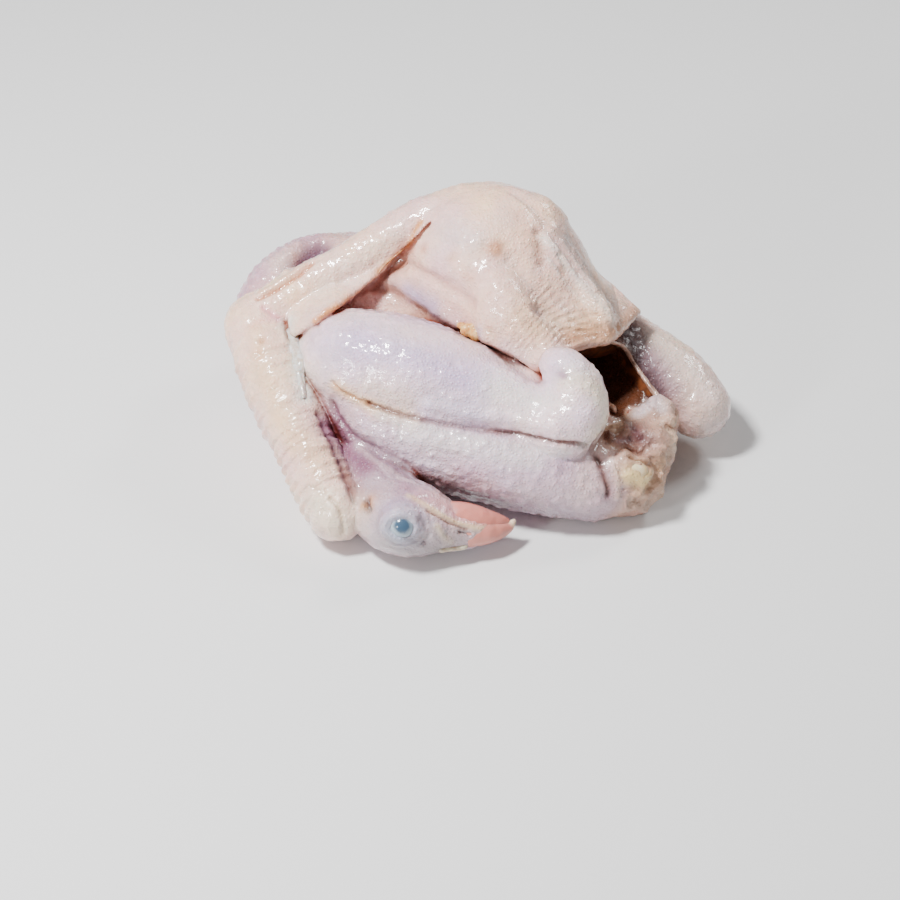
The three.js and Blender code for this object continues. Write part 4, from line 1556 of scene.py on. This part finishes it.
    def _lined(self, points: Array, tones: Array, height: Array, hollow: Array) -> tuple[Array, Array]:
        """Line the cavity with dark, uneven inner skin; its darkness is partly painted shade.

        Args:
            points: the skin's points.
            tones: their colours.
            height: how far they stand proud.
            hollow: how far each lies in the cavity, 0 to 1.

        Returns:
            The new colours and heights.
        """
        mottle = 1 + 0.35 * Noise.layered(points, 5, 3, 99)
        lining = np.array(linear(self.bird.cavity.tone)) * mottle[:, None]
        tones = tones * (1 - hollow[:, None]) + lining * hollow[:, None]
        uneven = self.lining_height * Noise.layered(points, (5, 5, 3), 3, 98)
        return tones, height * (1 - hollow) + hollow * uneven


def add_node(
    tree: bpy.types.NodeTree, kind: str, settings: dict | None = None, links: dict | None = None,
) -> bpy.types.Node:
    """Add a node to a material.

    Args:
        tree: the material's node tree.
        kind: the node's type name without its ShaderNode prefix.
        settings: values by the node's own property name, or by socket name or number.
        links: sockets of other nodes, by this node's socket name or number.

    Returns:
        The node.
    """
    node = tree.nodes.new("ShaderNode" + kind)
    for key, value in (settings or {}).items():
        if isinstance(key, str) and hasattr(node, key):
            setattr(node, key, value)
        else:
            node.inputs[key].default_value = value
    for key, socket in (links or {}).items():
        tree.links.new(socket, node.inputs[key])
    return node


def new_material(name: str) -> tuple[bpy.types.Material, bpy.types.NodeTree, bpy.types.Node]:
    """Start a material with nothing but its output.

    Args:
        name: what the real thing is made of.

    Returns:
        The material, its node tree and its output node.
    """
    material = bpy.data.materials.new(name)
    material.use_nodes = True
    tree = material.node_tree
    tree.nodes.clear()
    return material, tree, add_node(tree, "OutputMaterial")


@dataclass(frozen=True)
class WetSkin:
    """Cold plucked poultry skin: lilac and cream by place, pimpled, with a film of water.

    To the eye it is soft and slightly clear, with a dull gloss of its own, and the water over it breaks the
    light into small bright flecks. Its pores are drawn coarser than the real ones, so that they show.

    Attributes:
        name: the material's name.
        gloss: roughness of the skin where the film is thinnest.
        film: how much water lies on it, 0 to 1.
        glow: how much light goes in and comes out reddened, 0 to 1.
        pore: spacing of the fine pores, in millimetres.
        grain: how strongly the pores show.
        blotch: the size of the faint blotches under the skin, in millimetres.
        speck: the size of its finest specks, in millimetres.
        ripple: the size of the water's ripples, in millimetres.
    """

    name: str
    gloss: float = 0.36
    film: float = 1.0
    glow: float = 0.25
    pore: float = 1.3
    grain: float = 0.55
    blotch: float = 6.0
    speck: float = 0.9
    ripple: float = 2.2

    def made(self) -> bpy.types.Material:
        """Make the material.

        Returns:
            The material.
        """
        material, tree, output = new_material(self.name)
        place = add_node(tree, "TexCoord").outputs["Object"]
        tone = add_node(tree, "Attribute", {"attribute_name": "tone"}).outputs["Color"]
        wet = add_node(tree, "Attribute", {"attribute_name": "wet"}).outputs["Fac"]
        size = {"Scale": 1 / (self.blotch * MM), "Detail": 5.0, "Roughness": 0.62}
        veins = add_node(tree, "TexNoise", size, {"Vector": place})
        mottle = add_node(tree, "MapRange", {1: 0.3, 2: 0.7, 3: 0.9, 4: 1.08}, {0: veins.outputs["Fac"]})
        speck = add_node(tree, "TexNoise", {"Scale": 1 / (self.speck * MM), "Detail": 3.0}, {"Vector": place})
        fleck = add_node(tree, "MapRange", {1: 0.3, 2: 0.7, 3: 0.95, 4: 1.05}, {0: speck.outputs["Fac"]})
        shade = add_node(tree, "Math", {"operation": "MULTIPLY"}, {0: mottle.outputs[0], 1: fleck.outputs[0]})
        colour = add_node(tree, "VectorMath", {"operation": "SCALE"}, {0: tone, "Scale": shade.outputs[0]})
        pores = add_node(
            tree, "TexVoronoi", {"Scale": 1 / (self.pore * MM), "Randomness": 0.9}, {"Vector": place},
        )
        bumps = add_node(tree, "MapRange", {1: 0.0, 2: 0.5, 3: 1.0, 4: 0.0}, {0: pores.outputs["Distance"]})
        heights = {0: speck.outputs["Fac"], 2: bumps.outputs[0]}
        fine = add_node(tree, "Math", {"operation": "MULTIPLY_ADD", 1: 0.6}, heights)
        depth = {"Strength": self.grain, "Distance": 0.5 * MM}
        relief = add_node(tree, "Bump", depth, {"Height": fine.outputs[0]})
        gloss = {1: 0.25, 2: 0.75, 3: self.gloss - 0.1, 4: self.gloss + 0.12}
        rough = add_node(tree, "MapRange", gloss, {0: speck.outputs["Fac"]})
        film = add_node(tree, "MapRange", {1: 0.1, 2: 0.6, 3: self.film * 0.08, 4: self.film}, {0: wet})
        size = {"Scale": 1 / (self.ripple * MM), "Detail": 2.0}
        ripple = add_node(tree, "TexNoise", size, {"Vector": place})
        depth = {"Strength": 0.5, "Distance": 0.5 * MM}
        water = add_node(tree, "Bump", depth, {"Height": ripple.outputs["Fac"]})
        shader = add_node(
            tree,
            "BsdfPrincipled",
            {
                "IOR": 1.42,
                "Subsurface Weight": self.glow,
                "Subsurface Radius": (1.0, 0.42, 0.26),
                "Subsurface Scale": 1.1 * MM,
                "Coat Roughness": 0.09,
                "Coat IOR": 1.5,
            },
            {
                "Base Color": colour.outputs[0],
                "Roughness": rough.outputs[0],
                "Coat Weight": film.outputs[0],
                "Normal": relief.outputs[0],
                "Coat Normal": water.outputs[0],
            },
        )
        tree.links.new(shader.outputs[0], output.inputs["Surface"])
        return material


@dataclass(frozen=True)
class Tissue:
    """Inner tissue, fat, horn or a clouded eye: two colours that run together, wet and slightly clear.

    Attributes:
        name: the material's name.
        light: its paler colour.
        deep: its darker colour.
        grain: the size of its mottling, in millimetres.
        roughness: how broken its gloss is.
        film: how much water lies on it, 0 to 1.
        glow: how much light goes in and comes out, 0 to 1.
        centre: a place round which the darker colour lies, or None where it is mottled.
        reach: how far from that place the darker colour goes, in millimetres.
        clear: how much light goes straight through, 0 to 1.
    """

    name: str
    light: str
    deep: str
    grain: float = 2.5
    roughness: float = 0.35
    film: float = 0.6
    glow: float = 0.25
    centre: Place | None = None
    reach: float = 3.0
    clear: float = 0.0

    def made(self) -> bpy.types.Material:
        """Make the material.

        Returns:
            The material.
        """
        material, tree, output = new_material(self.name)
        place = add_node(tree, "TexCoord").outputs["Object"]
        cloud = add_node(tree, "TexNoise", {"Scale": 1 / (self.grain * MM), "Detail": 4.0}, {"Vector": place})
        mix = cloud.outputs["Fac"]
        low, high = 0.35, 0.65
        if self.centre:
            middle = tuple(in_frame(np.array([self.centre]))[0])
            gap = add_node(tree, "VectorMath", {"operation": "DISTANCE", 1: middle}, {0: place})
            wobble = add_node(
                tree, "Math", {"operation": "MULTIPLY_ADD", 1: self.reach * MM * 0.5},
                {0: cloud.outputs["Fac"], 2: gap.outputs["Value"]},
            )
            mix = wobble.outputs[0]
            low, high = self.reach * MM * 0.95, self.reach * MM * 1.5
        share = add_node(tree, "MapRange", {"interpolation_type": "SMOOTHSTEP", 1: low, 2: high}, {0: mix})
        colour = add_node(
            tree, "Mix", {"data_type": "RGBA", 6: (*linear(self.deep), 1), 7: (*linear(self.light), 1)},
            {0: share.outputs[0]},
        )
        relief = add_node(
            tree, "Bump", {"Strength": 0.3, "Distance": 0.2 * MM}, {"Height": cloud.outputs["Fac"]},
        )
        shader = add_node(
            tree,
            "BsdfPrincipled",
            {
                "IOR": 1.42,
                "Roughness": self.roughness,
                "Subsurface Weight": self.glow,
                "Subsurface Radius": (1.0, 0.5, 0.3),
                "Subsurface Scale": 1.5 * MM,
                "Coat Weight": self.film,
                "Coat Roughness": 0.1,
                "Coat IOR": 1.33,
                "Transmission Weight": self.clear,
            },
            {"Base Color": colour.outputs[2], "Normal": relief.outputs[0]},
        )
        tree.links.new(shader.outputs[0], output.inputs["Surface"])
        return material


def in_frame(points: Array) -> Array:
    """Move points from the working frame, in millimetres, to the part's frame, in metres."""
    return (points - np.array((*FOOTPRINT_MIDDLE, 0.0))) * MM


def add_piece(
    name: str, points: Array, faces: Array, material: bpy.types.Material, slot: Slot,
) -> bpy.types.Object:
    """Make a piece of the bird.

    Args:
        name: the piece's name.
        points: its points, in millimetres, in the working frame.
        faces: rows of point numbers.
        material: what it is made of.
        slot: the record's slot that it would take its finish from; not used.

    Returns:
        The piece.
    """
    mesh = bpy.data.meshes.new(name)
    mesh.from_pydata(in_frame(np.asarray(points, float)).tolist(), [], np.asarray(faces).tolist())
    mesh.polygons.foreach_set("use_smooth", np.ones(len(mesh.polygons), bool))
    mesh.materials.append(material)
    piece = bpy.data.objects.new(name, mesh)
    bpy.context.scene.collection.objects.link(piece)
    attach(piece, "root")
    LOG.info("piece %s: %d faces", name, len(mesh.polygons))
    return piece


def add_skin(name: str, dressed: Dressed, owner: int, material: bpy.types.Material) -> bpy.types.Object:
    """Make the piece of skin that belongs to one of the parts.

    Args:
        name: the piece's name.
        dressed: the whole skin.
        owner: the number of the part.
        material: what it is made of.

    Returns:
        The piece.
    """
    quads = dressed.surface.quads[dressed.owner == owner]
    used, renumbered = np.unique(quads, return_inverse=True)
    piece = add_piece(name, dressed.surface.points[used], renumbered.reshape(-1, 4), material, Slot.SKIN)
    mesh = piece.data
    tone: str = mesh.color_attributes.new("tone", "FLOAT_COLOR", "POINT")
    rgba = np.ones((len(used), 4), np.float32)
    rgba[:, :3] = np.clip(dressed.tones[used], 0, 1)
    tone.data.foreach_set("color", rgba.ravel())
    wet = mesh.attributes.new("wet", "FLOAT", "POINT")
    wet.data.foreach_set("value", dressed.wet[used].astype(np.float32))
    mesh.normals_split_custom_set_from_vertices(dressed.normals[used].tolist())
    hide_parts("chicken")
    return piece


@dataclass
class Lump:
    """A small soft thing grown from its own shapes, such as a bead of fat or a comb's stub.

    Attributes:
        name: the piece's name.
        shape: its form.
        cell: how finely it is grown, in millimetres.
        crumple: how uneven its surface is, in millimetres.
        crumple_size: the size of its bumps, in millimetres.
        slot: the record's slot for its finish, passed on to add_piece.
    """

    name: str
    shape: Shape
    cell: float = 0.7
    crumple: float = 0.3
    crumple_size: float = 2.5
    slot: Slot = Slot.SKIN

    def build(self, material: bpy.types.Material) -> bpy.types.Object:
        """Make the piece.

        Args:
            material: what it is made of.

        Returns:
            The piece.
        """
        low = self.shape.centre - self.shape.reach - 3 * self.cell
        high = self.shape.centre + self.shape.reach + 3 * self.cell
        surface = Surface.of(self.shape, tuple(low), tuple(high), self.cell)
        surface.relax(0.4)
        bumps = self.crumple * Noise.layered(surface.points, self.crumple_size, 2, 111)
        surface.points = surface.points + surface.normals() * bumps[:, None]
        surface.points[:, 2] = np.maximum(surface.points[:, 2], 0.02)
        return add_piece(self.name, surface.points, surface.quads, material, self.slot)


@dataclass
class Membrane:
    """A thin torn sheet of inner skin, from one edge line to another.

    Attributes:
        name: the piece's name.
        lines: the sheet's lines, from its held edge to its free edge.
        thickness: how thick it is, in millimetres.
        ripple: how far it waves, in millimetres.
        steps: how many faces lie between two of its places.
    """

    name: str
    lines: Sequence[Sequence[Place]]
    thickness: float = 0.5
    ripple: float = 0.8
    steps: int = 8

    def build(self, material: bpy.types.Material) -> bpy.types.Object:
        """Make the piece.

        Args:
            material: what it is made of.

        Returns:
            The piece.
        """
        rows = np.stack([smooth_curve(line, self.steps) for line in self.lines])
        columns = [smooth_curve(rows[:, j], self.steps) for j in range(rows.shape[1])]
        grid = np.stack(columns, axis=1)
        count, width = grid.shape[:2]
        across = np.gradient(grid, axis=1).reshape(-1, 3)
        along = np.gradient(grid, axis=0).reshape(-1, 3)
        normal = np.cross(across, along)
        normal /= np.maximum(np.linalg.norm(normal, axis=1, keepdims=True), SMALL)
        flat = grid.reshape(-1, 3)
        free = np.repeat(np.linspace(0, 1, count), width)
        wave = self.ripple * (0.3 + 0.7 * free) * Noise.layered(flat, 5, 2, 121)
        flat = flat + normal * wave[:, None]
        front = flat + normal * self.thickness / 2
        back = flat - normal * self.thickness / 2
        number = np.arange(count * width).reshape(count, width)
        a, b = number[:-1, :-1].ravel(), number[:-1, 1:].ravel()
        c, d = number[1:, 1:].ravel(), number[1:, :-1].ravel()
        faces = [np.stack([a, b, c, d], axis=1), np.stack([d, c, b, a], axis=1) + count * width]
        rim = np.concatenate([number[0], number[1:, -1], number[-1, -2::-1], number[-2:0:-1, 0]])
        after = np.roll(rim, -1)
        faces.append(np.stack([after, rim, rim + count * width, after + count * width], axis=1))
        return add_piece(self.name, np.concatenate([front, back]), np.concatenate(faces), material, Slot.SKIN)


@dataclass
class Eye:
    """The clouded eye between its swollen lids.

    Attributes:
        centre: the middle of the eyeball.
        radius: how large the eyeball is, in millimetres.
    """

    centre: Place = (-30.3, -103.0, 20.6)
    radius: float = 5.6

    def build(self) -> bpy.types.Object:
        """Make the eyeball.

        Returns:
            The piece.
        """
        x, y, z = self.centre
        # Clouded cornea: glossy, milky grey at the rim and slate blue over the pupil.
        finish = Tissue(
            "clouded_cornea", "9fadb8", "435a70", grain=2.0, roughness=0.2, film=0.9, glow=0.3,
            centre=(x, y - 4.4, z + 3.3), reach=3.2,
        )
        shape = Ellipsoid(self.centre, (self.radius, self.radius, self.radius * 0.92), yaw=-15)
        return Lump("eyeball", shape, 0.45, 0.05, 2.0, Slot.EYE).build(finish.made())


@dataclass
class Beak:
    """The horn of the closed beak: the short lower half, which lies uppermost, and the hooked upper half.

    Attributes:
        lower: stations of the lower half.
        upper: stations of the upper half and its hook.
    """

    lower: Sequence[Station] = (
        (-18, -91.5, 15.5, 4.4), (-10, -92, 15, 5.7), (-2, -92.2, 13.6, 5.0), (4, -91.8, 12.2, 3.5),
        (8.5, -91, 11, 1.9),
    )
    upper: Sequence[Station] = (
        (-5, -96.4, 10.2, 5.4), (1, -95.6, 9.8, 4.7), (6, -93.6, 9.2, 3.6), (10, -91.6, 9.4, 2.1),
        (12, -90.2, 10.8, 0.8),
    )

    def build(self) -> list[bpy.types.Object]:
        """Make both halves.

        Returns:
            The pieces.
        """
        # Beak horn: smooth and faintly clear, pink where blood shows through and pale at the hook.
        pink = Tissue(
            "pink_horn", "d98779", "bf9a9f", grain=1.6, roughness=0.34, film=0.6, glow=0.25,
            centre=(-19, -97, 22), reach=9.0,
        ).made()
        pale = Tissue(
            "pale_horn", "d58a7c", "ecd0b4", grain=1.6, roughness=0.3, film=0.6, glow=0.25,
            centre=(12, -90.2, 11), reach=2.8,
        ).made()
        return [
            Lump("lower_beak", Tube(self.lower), 0.5, 0.25, 2.4, Slot.BEAK).build(pink),
            Lump("upper_beak", Tube(self.upper), 0.5, 0.22, 2.4, Slot.BEAK).build(pale),
        ]


@dataclass
class Fat:
    """The yellow fat bulging from the fold at the flank, and the pale fat on the tail.

    Attributes:
        beads: the place, radii, turn and blend of each bead at the flank.
        tail_bead: the middle of the fat on the tail.
        tail_radii: half its length, width and height.
    """

    beads: Sequence[tuple[Place, Place, float, float]] = (
        ((-5.5, -33.5, 59), (3.2, 2.4, 2.6), 20, 0),
        ((-2.5, -36, 58.5), (2.6, 2.0, 3.0), -30, 1.0),
        ((-8, -31, 59.5), (2.0, 1.6, 1.6), BODY_YAW, 1.0),
        ((-3.5, -34, 61.4), (1.5, 1.3, 1.3), BODY_YAW, 0.8),
    )
    tail_bead: Place = (57.5, -77.6, 25)
    tail_radii: Place = (5.6, 3.6, 4.6)

    def build(self) -> list[bpy.types.Object]:
        """Make the fat.

        Returns:
            The pieces.
        """
        # Poultry fat: waxy, warm yellow and dull, glowing a little where it is thin.
        yellow = Tissue("yellow_fat", "e3bd80", "c9853f", 2.2, 0.4, 0.5, 0.4).made()
        pale = Tissue("pale_fat", "ead9b6", "dcc091", 3.0, 0.42, 0.4, 0.4).made()
        beads = [(Ellipsoid(place, radii, yaw=turn), blend) for place, radii, turn, blend in self.beads]
        tail = Ellipsoid(self.tail_bead, self.tail_radii, yaw=-15)
        return [
            Lump("flank_fat", Blended(*beads), 0.55, 0.35, 1.8).build(yellow),
            Lump("tail_fat", tail, 0.6, 0.5, 3.0).build(pale),
        ]


@dataclass
class Comb:
    """The small pale stub of the comb, under the head.

    Attributes:
        first: the first of its points, before they are laid on the skin.
        step: the way to the next one.
        count: how many there are.
        radii: half the length, width and height of each.
    """

    first: Place = (-15.2, -104.5, 7.5)
    step: Place = (2.1, 0.4, 0.0)
    count: int = 5
    radii: Place = (1.6, 1.3, 1.2)

    def build(self, bird: Bird) -> bpy.types.Object:
        """Make the stub.

        Args:
            bird: the bird that it lies on.

        Returns:
            The piece.
        """
        # Bloodless comb: pale, dull and fleshy.
        finish = Tissue("white_comb", "d9cdb2", "b9a690", 1.5, 0.45, 0.4, 0.3).made()
        number = np.arange(self.count)[:, None]
        places = bird.onto(np.array(self.first) + number * np.array(self.step))
        shape = Blended(*[(Ellipsoid(place, self.radii, yaw=10), 1.1) for place in places])
        return Lump("comb_stub", shape, 0.5, 0.25, 1.6).build(finish)


@dataclass
class Opening:
    """The sinew, the tag and the torn membranes that hang in the body's opening.

    Attributes:
        sinew: stations of the sinew along the side of the opening.
        tag: stations of the tag low in the opening.
        upper: the lines of the membrane under the flap, from its held edge to its free edge.
        side: the lines of the membrane beside the sinew.
    """

    sinew: Sequence[Station] = (
        (50, -33, 53, 1.0), (56, -25, 44, 0.9), (60, -29, 39, 0.9), (64, -35, 36, 1.0), (69, -43, 33, 1.3),
    )
    tag: Sequence[Station] = ((50, -36, 24, 1.3), (52, -42, 27, 1.0), (52, -47, 29, 0.7))
    upper: Sequence[Sequence[Place]] = (
        ((30, -38, 54), (42, -34, 54), (52, -27, 52)),
        ((34, -34, 47), (44, -29, 46), (54, -23, 45)),
        ((38, -28, 41), (46, -24, 38), (55, -20, 38)),
    )
    side: Sequence[Sequence[Place]] = (
        ((52, -31, 53), (57, -24, 42), (62, -31, 38), (68, -42, 33)),
        ((47, -26, 48), (53, -20, 38), (57, -27, 33), (62, -38, 29)),
    )

    def build(self) -> list[bpy.types.Object]:
        """Make the pieces.

        Returns:
            The pieces.
        """
        # Inner membrane: thin, wet and brown, so that light comes through it reddened.
        film = Tissue("brown_membrane", "7e4829", "42231a", 4.0, 0.3, 0.8, 0.5, clear=0.15).made()
        # Sinew: pale, tough and glossy.
        sinew = Tissue("pale_sinew", "b89684", "86604f", 3.0, 0.32, 0.7, 0.4).made()
        return [
            Lump("opening_sinew", Tube(self.sinew), 0.5, 0.25, 2.2).build(sinew),
            Lump("opening_tag", Tube(self.tag), 0.5, 0.3, 2.0).build(sinew),
            Membrane("upper_membrane", self.upper).build(film),
            Membrane("side_membrane", self.side).build(film),
        ]


@dataclass
class TornWing:
    """The dried free edge of the wing's web, and the glassy film beside the forearm.

    Attributes:
        edge: places along the free edge.
        edge_radius: how thick the edge is, in millimetres.
        edge_sway: how far it strays to each side, in millimetres.
        held: where the film is held along the forearm, before that is laid on the skin.
        width: the way from there to the film's free edge.
        crown: how far the film's middle stands off, in millimetres.
        film_ripple: how far the film waves, in millimetres.
    """

    edge: Sequence[Place] = (
        (-20, 6.5, 81.5), (-29, 2.4, 74.5), (-41, -4.6, 65.5), (-49.5, -11.5, 62), (-56.5, -24.5, 64),
        (-64, -30.5, 61),
    )
    edge_radius: float = 0.55
    edge_sway: float = 0.8
    held: Sequence[Place] = ((-77, -24, 52), (-75, -34, 49), (-73, -44, 46), (-70, -54, 40))
    width: Sequence[Place] = ((3.0, 0.6, 0.8), (5.4, 0.6, 0.8), (4.4, 0.6, 0.6), (2.0, 0.6, 0.4))
    crown: float = 1.0
    film_ripple: float = 2.4

    def build(self, bird: Bird) -> list[bpy.types.Object]:
        """Make the pieces.

        Args:
            bird: the bird that they lie on.

        Returns:
            The pieces.
        """
        # Dried skin edge: curled, tan and duller than the wet skin beside it.
        dried = Tissue("dried_skin_edge", "cf9f72", "a8683f", 2.0, 0.45, 0.3, 0.3).made()
        # Wet film: colourless and glassy, so that mostly its highlights show.
        glass = Tissue("wet_film", "ebe4df", "d3bfb0", 1.6, 0.25, 1.0, 0.4, clear=0.15).made()
        ragged = smooth_curve([(*place, self.edge_radius) for place in self.edge], 5)
        ragged[:, :3] += self.edge_sway * Noise.shifts(ragged[:, :3], 3.1, 131)
        held = bird.onto(np.array(self.held, float))
        free = held + np.array(self.width)
        middle = (held + free) / 2 + np.array((0, 0, self.crown))
        return [
            Lump("web_edge", Tube(ragged, 1), 0.45, 0.4, 1.4).build(dried),
            Membrane("wing_film", (held, middle, free), ripple=self.film_ripple).build(glass),
        ]


@dataclass
class Studio:
    """The floor, lights and camera.

    Attributes:
        elevation: how far above the floor the camera looks down from, degrees.
        lens: focal length for a 36 mm sensor.
        distance: how far the camera is from what it looks at, in millimetres.
        target: what it looks at, in the working frame.
        lamps: the name, place, side and power of each lamp, in metres and watts.
        room: how bright the even light of the room is.
        floor_tone: the floor's colour.
        floor_reach: half the floor's side, in metres.
        floor_drop: how far the floor lies below the bird, so that the two don't touch, in metres.
    """

    elevation: float = 40.5
    lens: float = 86.0
    distance: float = 895.83
    target: Place = (-12.5, -15.151, -17.741)
    lamps: Sequence[tuple[str, Place, float, float]] = (
        ("key", (-0.42, -0.15, 0.88), 0.15, 19.0),
        ("front", (-0.75, -0.8, 0.45), 0.18, 6.0),
        ("back", (0.6, 0.45, 0.7), 0.22, 3.5),
    )
    room: float = 0.22
    floor_tone: str = "e7e7e7"
    floor_reach: float = 6.0
    floor_drop: float = 0.0005

    def build(self) -> None:
        """Make the floor, the lights and the camera."""
        self._floor()
        for lamp in self.lamps:
            self._light(*lamp)
        self._world()
        self._camera()

    def _floor(self) -> None:
        """Make the pale floor."""
        # Matt paint: even and pale, so that only soft shadows show on it.
        material, tree, output = new_material("pale_floor")
        tone = (*linear(self.floor_tone), 1)
        shader = add_node(tree, "BsdfPrincipled", {"Base Color": tone, "Roughness": 0.6})
        tree.links.new(shader.outputs[0], output.inputs["Surface"])
        mesh = bpy.data.meshes.new("floor")
        reach = self.floor_reach
        corners = [(-reach, -reach, 0), (reach, -reach, 0), (reach, reach, 0), (-reach, reach, 0)]
        mesh.from_pydata(corners, [], [(0, 1, 2, 3)])
        mesh.materials.append(material)
        floor = bpy.data.objects.new("floor", mesh)
        floor.location.z = -self.floor_drop
        bpy.context.scene.collection.objects.link(floor)

    @staticmethod
    def _light(name: str, place: Place, size: float, power: float) -> None:
        """Add a soft lamp that looks at the bird.

        Args:
            name: the lamp's name.
            place: where it hangs, in metres.
            size: the side of its square, in metres.
            power: watts.
        """
        lamp = bpy.data.lights.new(name, "AREA")
        lamp.size = size
        lamp.energy = power
        holder = bpy.data.objects.new(name, lamp)
        holder.location = place
        holder.rotation_euler = (-Vector(place)).to_track_quat("-Z", "Y").to_euler()
        bpy.context.scene.collection.objects.link(holder)

    def _world(self) -> None:
        """Make the even light of the room."""
        world = bpy.data.worlds.new("room")
        world.use_nodes = True
        background = world.node_tree.nodes["Background"]
        background.inputs["Color"].default_value = (1, 1, 1, 1)
        background.inputs["Strength"].default_value = self.room
        bpy.context.scene.world = world

    def _camera(self) -> None:
        """Place the camera where the photograph was taken from."""
        tilt = math.radians(self.elevation)
        back = np.array((0, -math.cos(tilt), math.sin(tilt)))
        camera = bpy.data.cameras.new("camera")
        camera.lens = self.lens
        camera.clip_start = 0.01
        holder = bpy.data.objects.new("camera", camera)
        holder.location = in_frame(np.array(self.target) + back * self.distance)
        holder.rotation_euler = (math.pi / 2 - tilt, 0, 0)
        bpy.context.scene.collection.objects.link(holder)
        bpy.context.scene.camera = holder


def main() -> None:
    """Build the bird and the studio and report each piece."""
    logging.basicConfig(level=logging.INFO, format="%(message)s")
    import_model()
    Studio().build()
    bird = Bird()
    dressed = SkinMaker(bird).grown()
    skin = WetSkin("wet_skin").made()
    # Inner skin of the cavity: wetter and less clear than the outer skin, so that it looks dark and deep; its
    # colour is darkened further by painted shade.
    lining = WetSkin("cavity_lining", gloss=0.3, film=0.9, glow=0.15, pore=1.6, grain=0.5).made()
    for number, part in enumerate(bird.parts):
        add_skin(part.name + "_skin", dressed, number, skin)
    add_skin("body_cavity", dressed, len(bird.parts), lining)
    Eye().build()
    Beak().build()
    Fat().build()
    Comb().build(bird)
    Opening().build()
    TornWing().build(bird)


if __name__ == "__main__":
    main()
